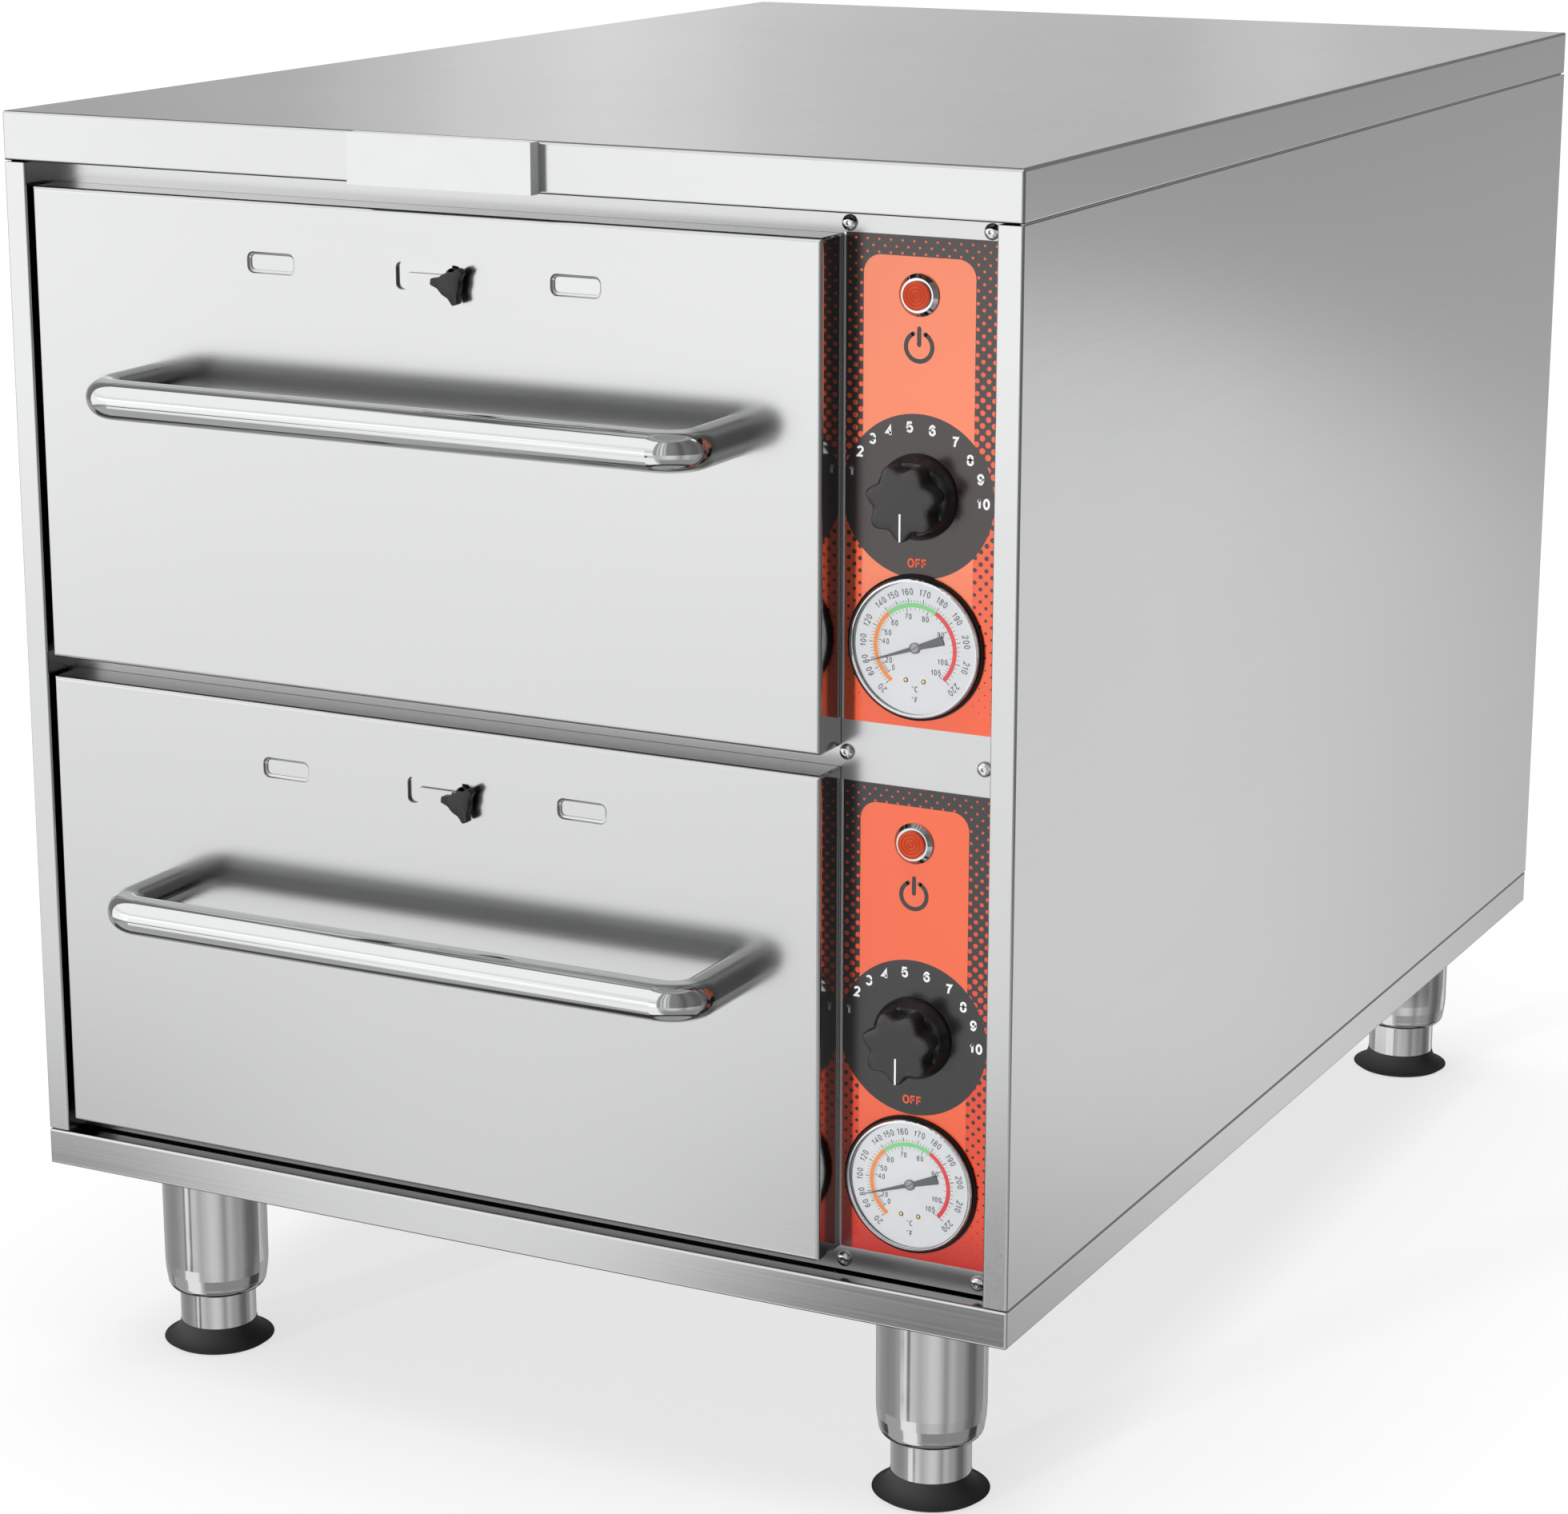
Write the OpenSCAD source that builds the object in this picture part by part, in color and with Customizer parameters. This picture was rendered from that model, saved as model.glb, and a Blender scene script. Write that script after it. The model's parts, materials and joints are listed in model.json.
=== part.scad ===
// Countertop warming drawer, two drawers on adjustable legs.
// Units mm. +X right, +Y to the back, +Z up. Floor at z = 0.
// Inside P() the frame is the cabinet's own: X from the left side, Y from the
// front face, Z down from the top (negative).

/* [Cabinet] */
// Cabinet width
body_width = 505; // [500:1:520]
// Cabinet depth, front face to rear panel
body_depth = 752; // [740:1:800]
// Cabinet height without the legs
body_height = 505.8; // [505.8:0.1:512]
// Sheet thickness
sheet = 1.2; // [1:0.1:1.5]
// Height of the top cover's folded edge
cover_edge = 22.4; // [20:0.1:24]
// Height of the base pan's front lip
base_lip = 17.5; // [17:0.1:17.5]
// Width of the front flanges
flange_w = 11.5; // [10:0.1:12]
// Recess of the front panel behind the flanges
recess = 20; // [20:0.1:21]

/* [Drawer fronts] */
// Left edge of the fronts
front_x = 15; // [14:0.1:15]
// Width of the fronts
front_w = 400; // [398:0.5:400]
// Top of the upper front, down from the cover
upper_top = 33.2; // [32:0.1:33.5]
// Height of the upper front
upper_h = 219.4; // [218:0.1:220]
// Top of the lower front, down from the cover
lower_top = 261.7; // [261:0.1:262]
// Height of the lower front
lower_h = 219.8; // [218:0.1:220]
// Bend radius of the front's edges
front_r = 1.8; // [1.5:0.1:2.2]

/* [Handles] */
// Handle tube diameter
handle_d = 18; // [16:0.5:19]
// Left return centreline
handle_x0 = 75.8; // [74:0.1:78]
// Right return centreline
handle_x1 = 371.9; // [370:0.1:374]
// Reach of the bar's centreline in front of the face
handle_reach = 41.4; // [38:0.1:44]
// Centreline bend radius
handle_bend = 13; // [12:0.5:16]
// Upper handle height, down from the cover
upper_handle_z = 119.5; // [115:0.1:125]
// Lower handle height, down from the cover
lower_handle_z = 357.6; // [352:0.1:362]

/* [Vents] */
// Centre of the left oval
oval_xa = 143.7; // [142:0.1:145]
// Centre of the right oval
oval_xb = 298.4; // [297:0.1:300]
// Oval width
oval_w = 24.9; // [24:0.1:25]
// Oval height
oval_h = 9.6; // [9:0.1:10]
// Upper vent row, down from the cover
upper_vent_z = 60.5; // [60:0.1:61]
// Lower vent row, down from the cover
lower_vent_z = 291.6; // [291:0.1:292]
// Vent travel
vent_travel = 27; // [26.8:0.1:27]

/* [Controls] */
// Control axis
ctrl_x = 450.2; // [449:0.1:451]
// Upper pilot light, down from the cover
upper_pilot_z = 56.6; // [55:0.1:58]
// Lower pilot light, down from the cover
lower_pilot_z = 291.3; // [290:0.1:293]
// Upper temperature knob, down from the cover
upper_knob_z = 141.2; // [140:0.1:142]
// Lower temperature knob, down from the cover
lower_knob_z = 378.6; // [378:0.1:380]
// Upper temperature gauge, down from the cover
upper_gauge_z = 205.6; // [205:0.1:206]
// Lower temperature gauge, down from the cover
lower_gauge_z = 445.5; // [445:0.1:446]
// Gauge ring outer diameter
gauge_d = 62.8; // [60:0.1:64]

/* [Legs] */
// Leg height under the cabinet
leg_h = 98.3; // [98.3:0.1:110]
// Leg tube diameter
leg_d = 50.8; // [50:0.1:52]
// Inner foot tube diameter
foot_d = 36.9; // [36:0.1:37]
// Leg inset from each side
leg_x = 58.65; // [56:0.05:62]
// Front leg distance behind the front face
leg_y0 = 52; // [48:0.5:60]
// Rear leg distance in front of the rear panel
leg_y1 = 41; // [38:0.5:50]

/* [Hidden] */
$fn = 48;
e = 0.02;
gland_out = 14;
TH = body_height + leg_h;
HR = handle_reach + handle_d/2;
FY = -(HR + body_depth + gland_out)/2 + HR;
W = body_width;
D = body_depth;
t = sheet;
// cavity, rails and carriage, measured for the upper drawer
cav_x0 = 22;
cav_x1 = 408;
cav_z0 = 41;
cav_z1 = 245;
cav_y0 = recess + t;
cav_y1 = 640;
rail_z = 87;
rail_y0 = 24;
rail_y1 = 624;
rim_z = 60;
car_x0 = cav_x0 + t + 13.2;
car_x1 = cav_x1 - t - 13.2;
car_y1 = 590;
pan_cx = (cav_x0 + cav_x1)/2;
pitch = lower_top - upper_top;
steel = [0.80, 0.81, 0.82];
dull = [0.62, 0.63, 0.64];
chrome = [0.88, 0.89, 0.90];
black = [0.07, 0.07, 0.075];

// ---------- helpers ----------
module P() { translate([-W/2, FY, TH]) children(); }
module box(x0, x1, y0, y1, z0, z1) { translate([x0, y0, z0]) cube([x1 - x0, y1 - y0, z1 - z0]); }
module rr(x0, y0, x1, y1, r) {
  translate([x0 + r, y0]) square([x1 - x0 - 2*r, y1 - y0]);
  translate([x0, y0 + r]) square([x1 - x0, y1 - y0 - 2*r]);
  for (p = [[x0 + r, y0 + r], [x1 - r, y0 + r], [x0 + r, y1 - r], [x1 - r, y1 - r]])
    translate(p) circle(r);
}
// prism along Z, Y or X from a rounded rectangle
module rz(x0, x1, y0, y1, z0, z1, r) { translate([0, 0, z0]) linear_extrude(z1 - z0) rr(x0, y0, x1, y1, r); }
module ry(x0, x1, y0, y1, z0, z1, r) { translate([0, y1, 0]) rotate([90, 0, 0]) linear_extrude(y1 - y0) rr(x0, z0, x1, z1, r); }
module rx(x0, x1, y0, y1, z0, z1, r) { translate([x0, 0, 0]) rotate([90, 0, 90]) linear_extrude(x1 - x0) rr(y0, z0, y1, z1, r); }
// round bar along Y, from y0 to y1
module cy(x, z, y0, y1, r, r2 = -1) { translate([x, y0, z]) rotate([-90, 0, 0]) cylinder(r1 = r, r2 = r2 < 0 ? r : r2, h = y1 - y0); }
module ring_y(x, z, y0, y1, ro, ri) { difference() { cy(x, z, y0, y1, ro); cy(x, z, y0 - 1, y1 + 1, ri); } }
module oval(x, z, w, h, y0, y1) { ry(x - w/2, x + w/2, y0, y1, z - h/2, z + h/2, 3.2); }

// ---------- cabinet shell ----------
module top_cover() {
  color(steel) P() difference() {
    intersection() {
      rz(0, W, 0, D, -cover_edge, 0, 1.2);
      ry(0, W, -1, D + 1, -cover_edge - 10, 0, 1.5);
      rx(-1, W + 1, 0, D, -cover_edge - 10, 0, 1.5);
      // softened lower rim
      ry(0, W, -1, D + 1, -cover_edge, 10, 1.1);
      rx(-1, W + 1, 0, D, -cover_edge, 10, 1.1);
    }
    box(t, W - t, t, D - t, -cover_edge - 1, -t);
  }
}

// open seam under the cover's edge and over the base's lip
seam = 0.7;
module side_sheet() {
  // outer sheet
  box(0, t, 0, D - t, -body_height + base_lip + seam, -cover_edge - seam);
  // joggled edges behind the cover's edge and the base's lip
  box(0, 2*t, 2*t, D - 2*t, -cover_edge - 4, -cover_edge - seam);
  box(t, 2*t, 2*t, D - 2*t, -cover_edge - 4, -4);
  box(0, 2*t, 2*t, D - 2*t, -body_height + base_lip + seam, -body_height + base_lip + 4);
  box(t, 2*t, 2*t, D - 2*t, -body_height + t, -body_height + base_lip + 4);
}
module side_front(w) {
  // front flange and its inner return
  difference() {
    rz(0, w, 0, 40, -body_height + base_lip + seam, -cover_edge - seam, 1.2);
    box(t, w - t, t, 60, -body_height, 0);
    box(w - t - 1, w + 1, recess, 60, -body_height, 0);
    box(-1, t + 1, 20, 60, -body_height, 0);
  }
}
module left_side_panel() {
  color(steel) P() { difference() { side_sheet(); box(-1, t + e, -1, 18, -cover_edge - 4 - 480, -cover_edge + 1); } side_front(flange_w); }
}
module right_side_panel() {
  color(steel) P() translate([W, 0, 0]) mirror([1, 0, 0]) { difference() { side_sheet(); box(-1, t + e, -1, 18, -cover_edge - 4 - 480, -cover_edge + 1); } side_front(flange_w + 0.2); }
}

module rear_panel() {
  color(steel) P() difference() {
    union() {
      box(0, W, D - t, D, -body_height + base_lip + seam, -cover_edge - seam);
      box(2*t, W - 2*t, D - 2*t, D - t, -body_height + t, -4);
    }
    box(W - 115, W - 45, D - 10, D + 1, -462, -372);
    for (x = [W - 122, W - 38]) for (z = [-365, -469]) cy(x, z, D - 10, D + 1, 1.75);
  }
}

module leg_at() {
  for (p = [[leg_x, leg_y0], [W - leg_x, leg_y0], [leg_x, D - leg_y1], [W - leg_x, D - leg_y1]])
    translate([p[0], p[1], 0]) children();
}

module base_pan() {
  color(steel) P() difference() {
    union() {
      difference() {
        intersection() {
          rz(0, W, 0, D, -body_height, -body_height + base_lip, 1.2);
          ry(0, W, -1, D + 1, -body_height, -body_height + base_lip, 1.15);
          rx(-1, W + 1, 0, D, -body_height, -body_height + base_lip, 1.15);
        }
        box(t, W - t, t, D - t, -body_height + t, 0);
      }
      // ledge behind the front lip
      box(2*t, W - 2*t, t - e, 34, -body_height + 11.9, -body_height + 13.1);
      box(2*t, W - 2*t, 32.8, 34, -body_height + t - e, -body_height + 13.1);
    }
    leg_at() translate([0, 0, -body_height - 1]) cylinder(r = 6.5, h = 5);
  }
}

module front_panel() {
  color(steel) P() difference() {
    box(2*t, W - 2*t, recess, recess + t, -491.5, -t);
    for (z = [0, -pitch]) box(cav_x0 + t, cav_x1 - t, recess - 1, recess + 3, z - cav_z1 + t, z - cav_z0 - t);
    for (z = [-upper_knob_z, -lower_knob_z]) cy(ctrl_x, z, recess - 1, recess + 3, 4.9);
    for (z = [-upper_gauge_z, -lower_gauge_z]) cy(ctrl_x, z, recess - 1, recess + 3, 26.6);
    for (z = [-upper_pilot_z, -lower_pilot_z]) cy(ctrl_x, z, recess - 1, recess + 3, 6.6);
    for (p = screw_p) cy(p[0], p[1], recess - 1, recess + 3, 1.75);
  }
}
screw_p = [[418, -28.7], [482.4, -28.7], [418, -254.8], [482.4, -254.8], [418, -486.3], [482.4, -486.3]];

module panel_screws() {
  color(chrome) P() for (p = screw_p) {
    intersection() {
      translate([p[0], recess + 2.2, p[1]]) sphere(r = 4.4);
      cy(p[0], p[1], recess - 3, recess, 3.5);
    }
    cy(p[0], p[1], recess - e, recess + 9, 1.7);
  }
}

// ---------- inside ----------
module liner(dz) {
  translate([0, 0, dz]) difference() {
    box(cav_x0, cav_x1, cav_y0, cav_y1, -cav_z1, -cav_z0);
    box(cav_x0 + t, cav_x1 - t, cav_y0 - 1, cav_y1 - t, -cav_z1 + t, -cav_z0 - t);
    // element legs through the rear wall
    for (x = [105, 325]) cy(x, -cav_z1 + 16, cav_y1 - 5, cav_y1 + 1, 4.3);
    // sensor leads through the right wall
    for (y = [120, 260]) translate([cav_x1 - 3, y, -cav_z0 - 10]) rotate([0, 90, 0]) cylinder(r = 2.1, h = 6);
  }
}
module cavity_liners() { color(dull) P() { liner(0); liner(-pitch); } }

module control_partition() {
  color(dull) P() difference() {
    union() {
      box(412, 413.2, recess + t, cav_y1 + 40, -body_height + 14, -4);
      box(413, 422, recess + t, recess + t + 1.2, -body_height + 16, -4);
    }
    // notches at the gauges and the sensor leads
    for (z = [-upper_gauge_z, -lower_gauge_z]) cy(ctrl_x, z, recess, recess + 5, 30);
    for (p = screw_p) cy(p[0], p[1], recess, recess + 12, 3);
    for (z = [0, -pitch]) for (y = [120, 260]) translate([405, y, z - cav_z0 - 10]) rotate([0, 90, 0]) cylinder(r = 2.6, h = 12);
  }
}

module insulation() {
  color([0.86, 0.80, 0.62]) P() difference() {
    box(2*t + 0.3, 411.8, recess + t + 0.2, cav_y1 + 28, -body_height + 14, -t - 0.2);
    for (z = [0, -pitch]) {
      box(cav_x0 - 0.1, cav_x1 + 0.1, recess, cav_y1 + 0.1, z - cav_z1 - 0.1, z - cav_z0 + 0.1);
      for (x = [105, 325]) cy(x, z - cav_z1 + 16, cav_y1 - 5, cav_y1 + 40, 4.6);
      for (y = [120, 260]) translate([cav_x1 - 3, y, z - cav_z0 - 10]) rotate([0, 90, 0]) cylinder(r = 2.6, h = 12);
    }
    // room for the base ledge, the leg plates and the panel's screws
    box(0, W, 0, 36, -body_height, -body_height + 15);
  }
}

// one outer rail: a channel open to the middle of the cavity
module chan(x, d, h, l0, l1, s) {
  // x = back of the web, d = depth, h = half height, s = side (+1 opens to +X)
  translate([x, 0, 0]) scale([s, 1, 1]) {
    box(0, t, l0, l1, -h, h);
    box(0, d, l0, l1, h - t, h);
    box(0, d, l0, l1, -h, -h + t);
  }
}
module rail_pair(x, d, h, l0, l1) {
  chan(cav_x0 + t + x, d, h, l0, l1, 1);
  chan(cav_x1 - t - x, d, h, l0, l1, -1);
}
module outer_rails() {
  color(dull) P() for (z = [0, -pitch]) translate([0, 0, z - rail_z]) rail_pair(0, 7.8, 22, rail_y0, rail_y1);
}
module mid_rails(dz) {
  color(dull) P() translate([0, 0, dz - rail_z]) {
    rail_pair(2.7, 7.1, 18, rail_y0, rail_y1);
    // glide strips above and below, to the outer rail and to the inner rail
    for (s = [1, -1]) translate([s > 0 ? cav_x0 + t : cav_x1 - t, 0, 0]) scale([s, 1, 1]) {
      for (q = [[17.9, 20.7], [-20.7, -17.9]]) box(3.6, 6.8, rail_y0 + 4, rail_y1 - 4, q[0], q[1]);
      for (q = [[14.1, 16.9], [-16.9, -14.1]]) box(6.2, 9.2, rail_y0 + 4, rail_y1 - 4, q[0], q[1]);
    }
  }
}
module upper_mid_rails() { mid_rails(0); }
module lower_mid_rails() { mid_rails(-pitch); }

module heating_elements() {
  color([0.30, 0.29, 0.28]) P() for (z = [0, -pitch]) translate([pan_cx, 0, z - cav_z1 + 16]) {
    for (x = [-110, 110]) {
      cy(x, 0, 130, cav_y1 + 26, 4);
      // stand-offs on the cavity floor
      for (y = [200, 480]) translate([x, y, -16 + t]) cylinder(r = 2.5, h = 13);
    }
    translate([-75, 130, 0]) rotate([0, 0, 180]) rotate_extrude(angle = 90) translate([35, 0]) circle(4);
    translate([75, 130, 0]) rotate([0, 0, 270]) rotate_extrude(angle = 90) translate([35, 0]) circle(4);
    translate([-75, 95, 0]) rotate([0, 90, 0]) cylinder(r = 4, h = 150);
  }
}

module sensor_bulbs() {
  color([0.72, 0.45, 0.30]) P() for (z = [0, -pitch]) for (y = [120, 260]) translate([cav_x1 - t - 6, y, z - cav_z0 - 10]) {
    translate([0, -4, 0]) rotate([-90, 0, 0]) cylinder(r = 3, h = 94);
    rotate([0, 90, 0]) cylinder(r = 1.9, h = 22);
  }
}

module thermostats() {
  color([0.75, 0.73, 0.68]) P() for (z = [-upper_knob_z, -lower_knob_z]) difference() {
    union() {
      box(ctrl_x - 20, ctrl_x + 20, recess + 3.5, recess + 36, z - 24, z + 24);
      box(ctrl_x - 27, ctrl_x + 27, recess + t, recess + 3.6, z - 12, z + 12);
      cy(ctrl_x, z, recess - 2.6, recess + 4, 4.8);
      // nut and washer in front of the panel
      ring_y(ctrl_x, z, recess - 2.2, recess - 0.4, 7, 4.7);
    }
    cy(ctrl_x, z, recess - 4, recess + 30, 3.05);
  }
}

module shaft(z) { cy(ctrl_x, z, 8, recess + 29, 2.98); }
module upper_knob_shaft() { color(dull) P() shaft(-upper_knob_z); }
module lower_knob_shaft() { color(dull) P() shaft(-lower_knob_z); }

// ---------- control labels ----------
module label(z0, z1, zp, zk, zg) {
  color([0.36, 0.30, 0.30]) P() difference() {
    ry(415.7, 485.5, recess - 0.4, recess, z0, z1, 0.6);
    cy(ctrl_x, zk, 0, 40, 7.6);
    cy(ctrl_x, zg, 0, 40, 29);
    cy(ctrl_x, zp, 0, 40, 6.6);
  }
}
module upper_control_label() { label(-240.4, -32.4, -upper_pilot_z, -upper_knob_z, -upper_gauge_z); }
module lower_control_label() { label(-480.2, -267.2, -lower_pilot_z, -lower_knob_z, -lower_gauge_z); }

module pilot_bezels() {
  color(chrome) P() for (z = [-upper_pilot_z, -lower_pilot_z]) difference() {
    union() {
      cy(ctrl_x, z, recess - 1.3, recess - 0.4, 9);
      cy(ctrl_x, z, recess - 2.9, recess - 1.3, 7.3, 9);
      cy(ctrl_x, z, recess - 0.5, recess + 12, 6.5);
      ring_y(ctrl_x, z, recess + t, recess + t + 3, 8.5, 6.4);
    }
    cy(ctrl_x, z, recess - 6, recess + 13, 5.9);
    cy(ctrl_x, z, recess - 6, recess - 2.5, 6.2);
  }
}
module pilot_lenses() {
  color([0.90, 0.30, 0.10]) P() for (z = [-upper_pilot_z, -lower_pilot_z]) {
    cy(ctrl_x, z, recess - 4, recess - 2.5, 6.15);
    cy(ctrl_x, z, recess - 2.6, recess + 24, 5.85);
  }
}

// ---------- gauges ----------
module gauge_cases() {
  color([0.93, 0.93, 0.91]) P() for (z = [-upper_gauge_z, -lower_gauge_z]) difference() {
    union() {
      cy(ctrl_x, z, recess - 1.7, recess - 0.4, 28.8);
      cy(ctrl_x, z, recess - 0.5, recess + 26, 26.4);
      cy(ctrl_x, z, recess + 26 - e, recess + 40, 4);
    }
    cy(ctrl_x, z, recess - 3, recess + 6, 0.85);
  }
}
module gauge_bezels() {
  color(chrome) P() for (z = [-upper_gauge_z, -lower_gauge_z]) translate([ctrl_x, recess, z]) rotate([90, 0, 0])
    rotate_extrude() difference() {
      union() {
        // wider rear ring
        translate([28.65, 0.4]) square([gauge_d/2 - 28.65, 1.5]);
        // rounded front rim
        translate([28.65, 0.4]) square([1.6, 2.4]);
        translate([28.65, 0.4]) square([0.4, 3.6]);
        translate([29.05, 2.8]) circle(1.2);
      }
      translate([27, 0.3]) square([1.85, 2.9]);
      translate([27, 0]) square([1.65, 6]);
    }
}
module gauge_lenses() {
  color([0.9, 0.95, 1, 0.25]) P() for (z = [-upper_gauge_z, -lower_gauge_z]) cy(ctrl_x, z, recess - 3.4, recess - 2.9, 28.6);
}
// needle angle clockwise from straight down
needle_a = 70.5;
module needle(z) {
  color([0.16, 0.16, 0.17]) P() translate([ctrl_x, recess - 2.1, z]) rotate([0, needle_a, 0]) {
    rotate([90, 0, 0]) linear_extrude(0.4) {
      polygon([[0.15, -22.6], [-0.15, -22.6], [-1, 0], [-1.15, 2], [-2.05, 13.8], [2.05, 13.8], [1.15, 2], [1, 0]]);
      circle(2.4);
    }
    rotate([-90, 0, 0]) cylinder(r = 0.8, h = 4);
  }
}
module upper_gauge_needle() { needle(-upper_gauge_z); }
module lower_gauge_needle() { needle(-lower_gauge_z); }

// ---------- temperature knob ----------
module knob(z) {
  color(black) P() translate([ctrl_x, recess, z]) rotate([90, 0, 0]) difference() {
    union() {
      translate([0, 0, 0.7]) cylinder(r1 = 18.4, r2 = 18.2, h = 1.5);
      translate([0, 0, 2.2 - e]) cylinder(r1 = 18.2, r2 = 15.2, h = 5.4);
      translate([0, 0, 4]) linear_extrude(13.9) {
        circle(13.4);
        for (a = [0:6]) rotate(a*360/7 - 90) translate([12.9, 0]) circle(3.6);
      }
    }
    // hollow back, over the bushing's nut
    translate([0, 0, -1]) cylinder(r = 9, h = 5);
    translate([0, 0, -1]) cylinder(r = 3.0, h = 13);
  }
}
module upper_temp_knob() { knob(-upper_knob_z); }
module lower_temp_knob() { knob(-lower_knob_z); }

// ---------- nameplate, rear, base ----------
module nameplate() { color([0.95, 0.95, 0.95]) P() ry(189, 281, -6.7, 0, -22.5, 0, 0.4); }

module rear_access_cover() {
  color(steel) P() difference() {
    ry(W - 130, W - 30, D, D + t, -477, -357, 4);
    cy(W - 80, -440, D - 1, D + 3, 10.1);
    for (x = [W - 122, W - 38]) for (z = [-365, -469]) cy(x, z, D - 1, D + 3, 1.75);
  }
}
module rear_cover_screws() {
  color(chrome) P() for (x = [W - 122, W - 38]) for (z = [-365, -469]) {
    cy(x, z, D + t, D + t + 2, 3.4, 2.4);
    cy(x, z, D - 8, D + t + e, 1.7);
  }
}
module cord_gland() {
  color(black) P() difference() {
    union() {
      cy(W - 80, -440, D + t, D + t + 5, 14);
      cy(W - 80, -440, D + t + 5 - e, D + gland_out, 12, 9);
      cy(W - 80, -440, D - 12, D + t + e, 10);
      translate([W - 80, D - 8, -440]) rotate([-90, 0, 0]) difference() { cylinder(r = 14, h = 8, $fn = 6); translate([0, 0, -1]) cylinder(r = 9.9, h = 10); }
    }
    cy(W - 80, -440, D - 14, D + gland_out + 1, 5.5);
  }
}
module terminal_block() {
  color([0.90, 0.88, 0.80]) P() difference() {
    union() {
      box(W - 116, W - 44, D - 2*t - 40, D - 2*t - 18, -358, -340);
      for (x = [W - 110, W - 50]) box(x - 4, x + 4, D - 2*t - 18 - e, D - 2*t, -356, -342);
    }
    for (i = [0:5]) translate([W - 107 + i*11, D - 2*t - 29, -352]) cylinder(r = 3, h = 13);
  }
}

module leg_plates() {
  color(dull) P() leg_at() difference() {
    translate([-35, -14, -body_height + t]) cube([70, 28, 3]);
    translate([0, 0, -body_height]) cylinder(r = 6.1, h = 8);
  }
}

// ---------- legs (local frame: floor at 0, axis at the leg) ----------
module leg_tubes() {
  color(steel) P() translate([0, 0, -TH]) leg_at() {
    difference() {
      rotate_extrude() {
        polygon([[0, 33], [leg_d/2 - 1.3, 33], [leg_d/2 - 0.5, 38], [leg_d/2 - 0.2, 43], [leg_d/2, leg_h], [0, leg_h]]);
        translate([0, 28.1]) square([leg_d/2 - 6.2, 5]);
        translate([leg_d/2 - 6.2, 33]) circle(4.9);
      }
      translate([0, 0, 10]) cylinder(r = foot_d/2 + 0.05, h = 82 - 10);
    }
    translate([0, 0, leg_h - e]) cylinder(r = 6, h = 12);
  }
}
module foot(x, y) {
  color(steel) translate([x - W/2, y + FY, 0]) {
    translate([0, 0, 10.8]) cylinder(r = foot_d/2, h = 58);
    translate([0, 0, 4]) cylinder(r = 7.98, h = 7);
  }
}
module pad(x, y) {
  color(black) translate([x - W/2, y + FY, 0]) difference() {
    rotate_extrude() difference() {
      polygon([[0, 0], [24.5, 0], [26.9, 1.75], [26.9, 10.8], [0, 10.8]]);
      translate([28.5, 11.5]) circle(9.9);
    }
    translate([0, 0, 4]) cylinder(r = 8, h = 10);
  }
}
module foot_front_left() { foot(leg_x, leg_y0); }
module pad_front_left() { pad(leg_x, leg_y0); }
module foot_front_right() { foot(W - leg_x, leg_y0); }
module pad_front_right() { pad(W - leg_x, leg_y0); }
module foot_rear_left() { foot(leg_x, D - leg_y1); }
module pad_rear_left() { pad(leg_x, D - leg_y1); }
module foot_rear_right() { foot(W - leg_x, D - leg_y1); }
module pad_rear_right() { pad(W - leg_x, D - leg_y1); }

// ---------- drawers ----------
// vent slot: a level leg with a drop at each end, zc = centre of the ovals
slot_up = 5.0;
slot_lo = 0.5;
slot_bot = -7.1;
stem_z = 2.75;
module vent_slot(zc, y0, y1) {
  box(211.6, 238.5, y0, y1, zc + slot_lo, zc + slot_up);
  for (x = [211.6, 238.5]) ry(x - 3, x + 3, y0, y1, zc + slot_bot, zc + slot_up, 2.6);
}
module drawer_front(zt, h, zv, zh) {
  x0 = front_x; x1 = front_x + front_w; zb = zt - h;
  color(steel) P() {
    difference() {
      intersection() {
        ry(x0, x1, 0, recess - 0.4, zb, zt, 1.2);
        rz(x0, x1, 0, 60, zb - 1, zt + 1, front_r);
        rx(x0 - 1, x1 + 1, 0, 60, zb, zt, front_r);
      }
      box(x0 + t, x1 - t, t, 60, zb + t, zt - t);
      for (x = [oval_xa, oval_xb]) oval(x, zv, oval_w, oval_h, -1, 3);
      vent_slot(zv, -1, 3);
      for (x = [handle_x0, handle_x1]) cy(x, zh, -1, 3, 3.1);
    }
    // guides for the vent plate
    for (s = [1, -1]) {
      translate([0, 0, zv]) scale([1, 1, s]) {
        box(130, 318, t - e, 4.8, 17.4, 19.4);
        box(130, 318, 3.5, 4.8, 13.5, 19.4);
      }
    }
  }
}
module drawer_liner(zt, h, zv) {
  x0 = front_x; x1 = front_x + front_w; zb = zt - h;
  color(dull) P() difference() {
    box(x0 + t, x1 - t, recess - 2.2, recess - 1, zb + t, zt - t);
    for (x = [oval_xa, oval_xb]) oval(x, zv, oval_w, oval_h, 0, 30);
  }
}
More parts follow.
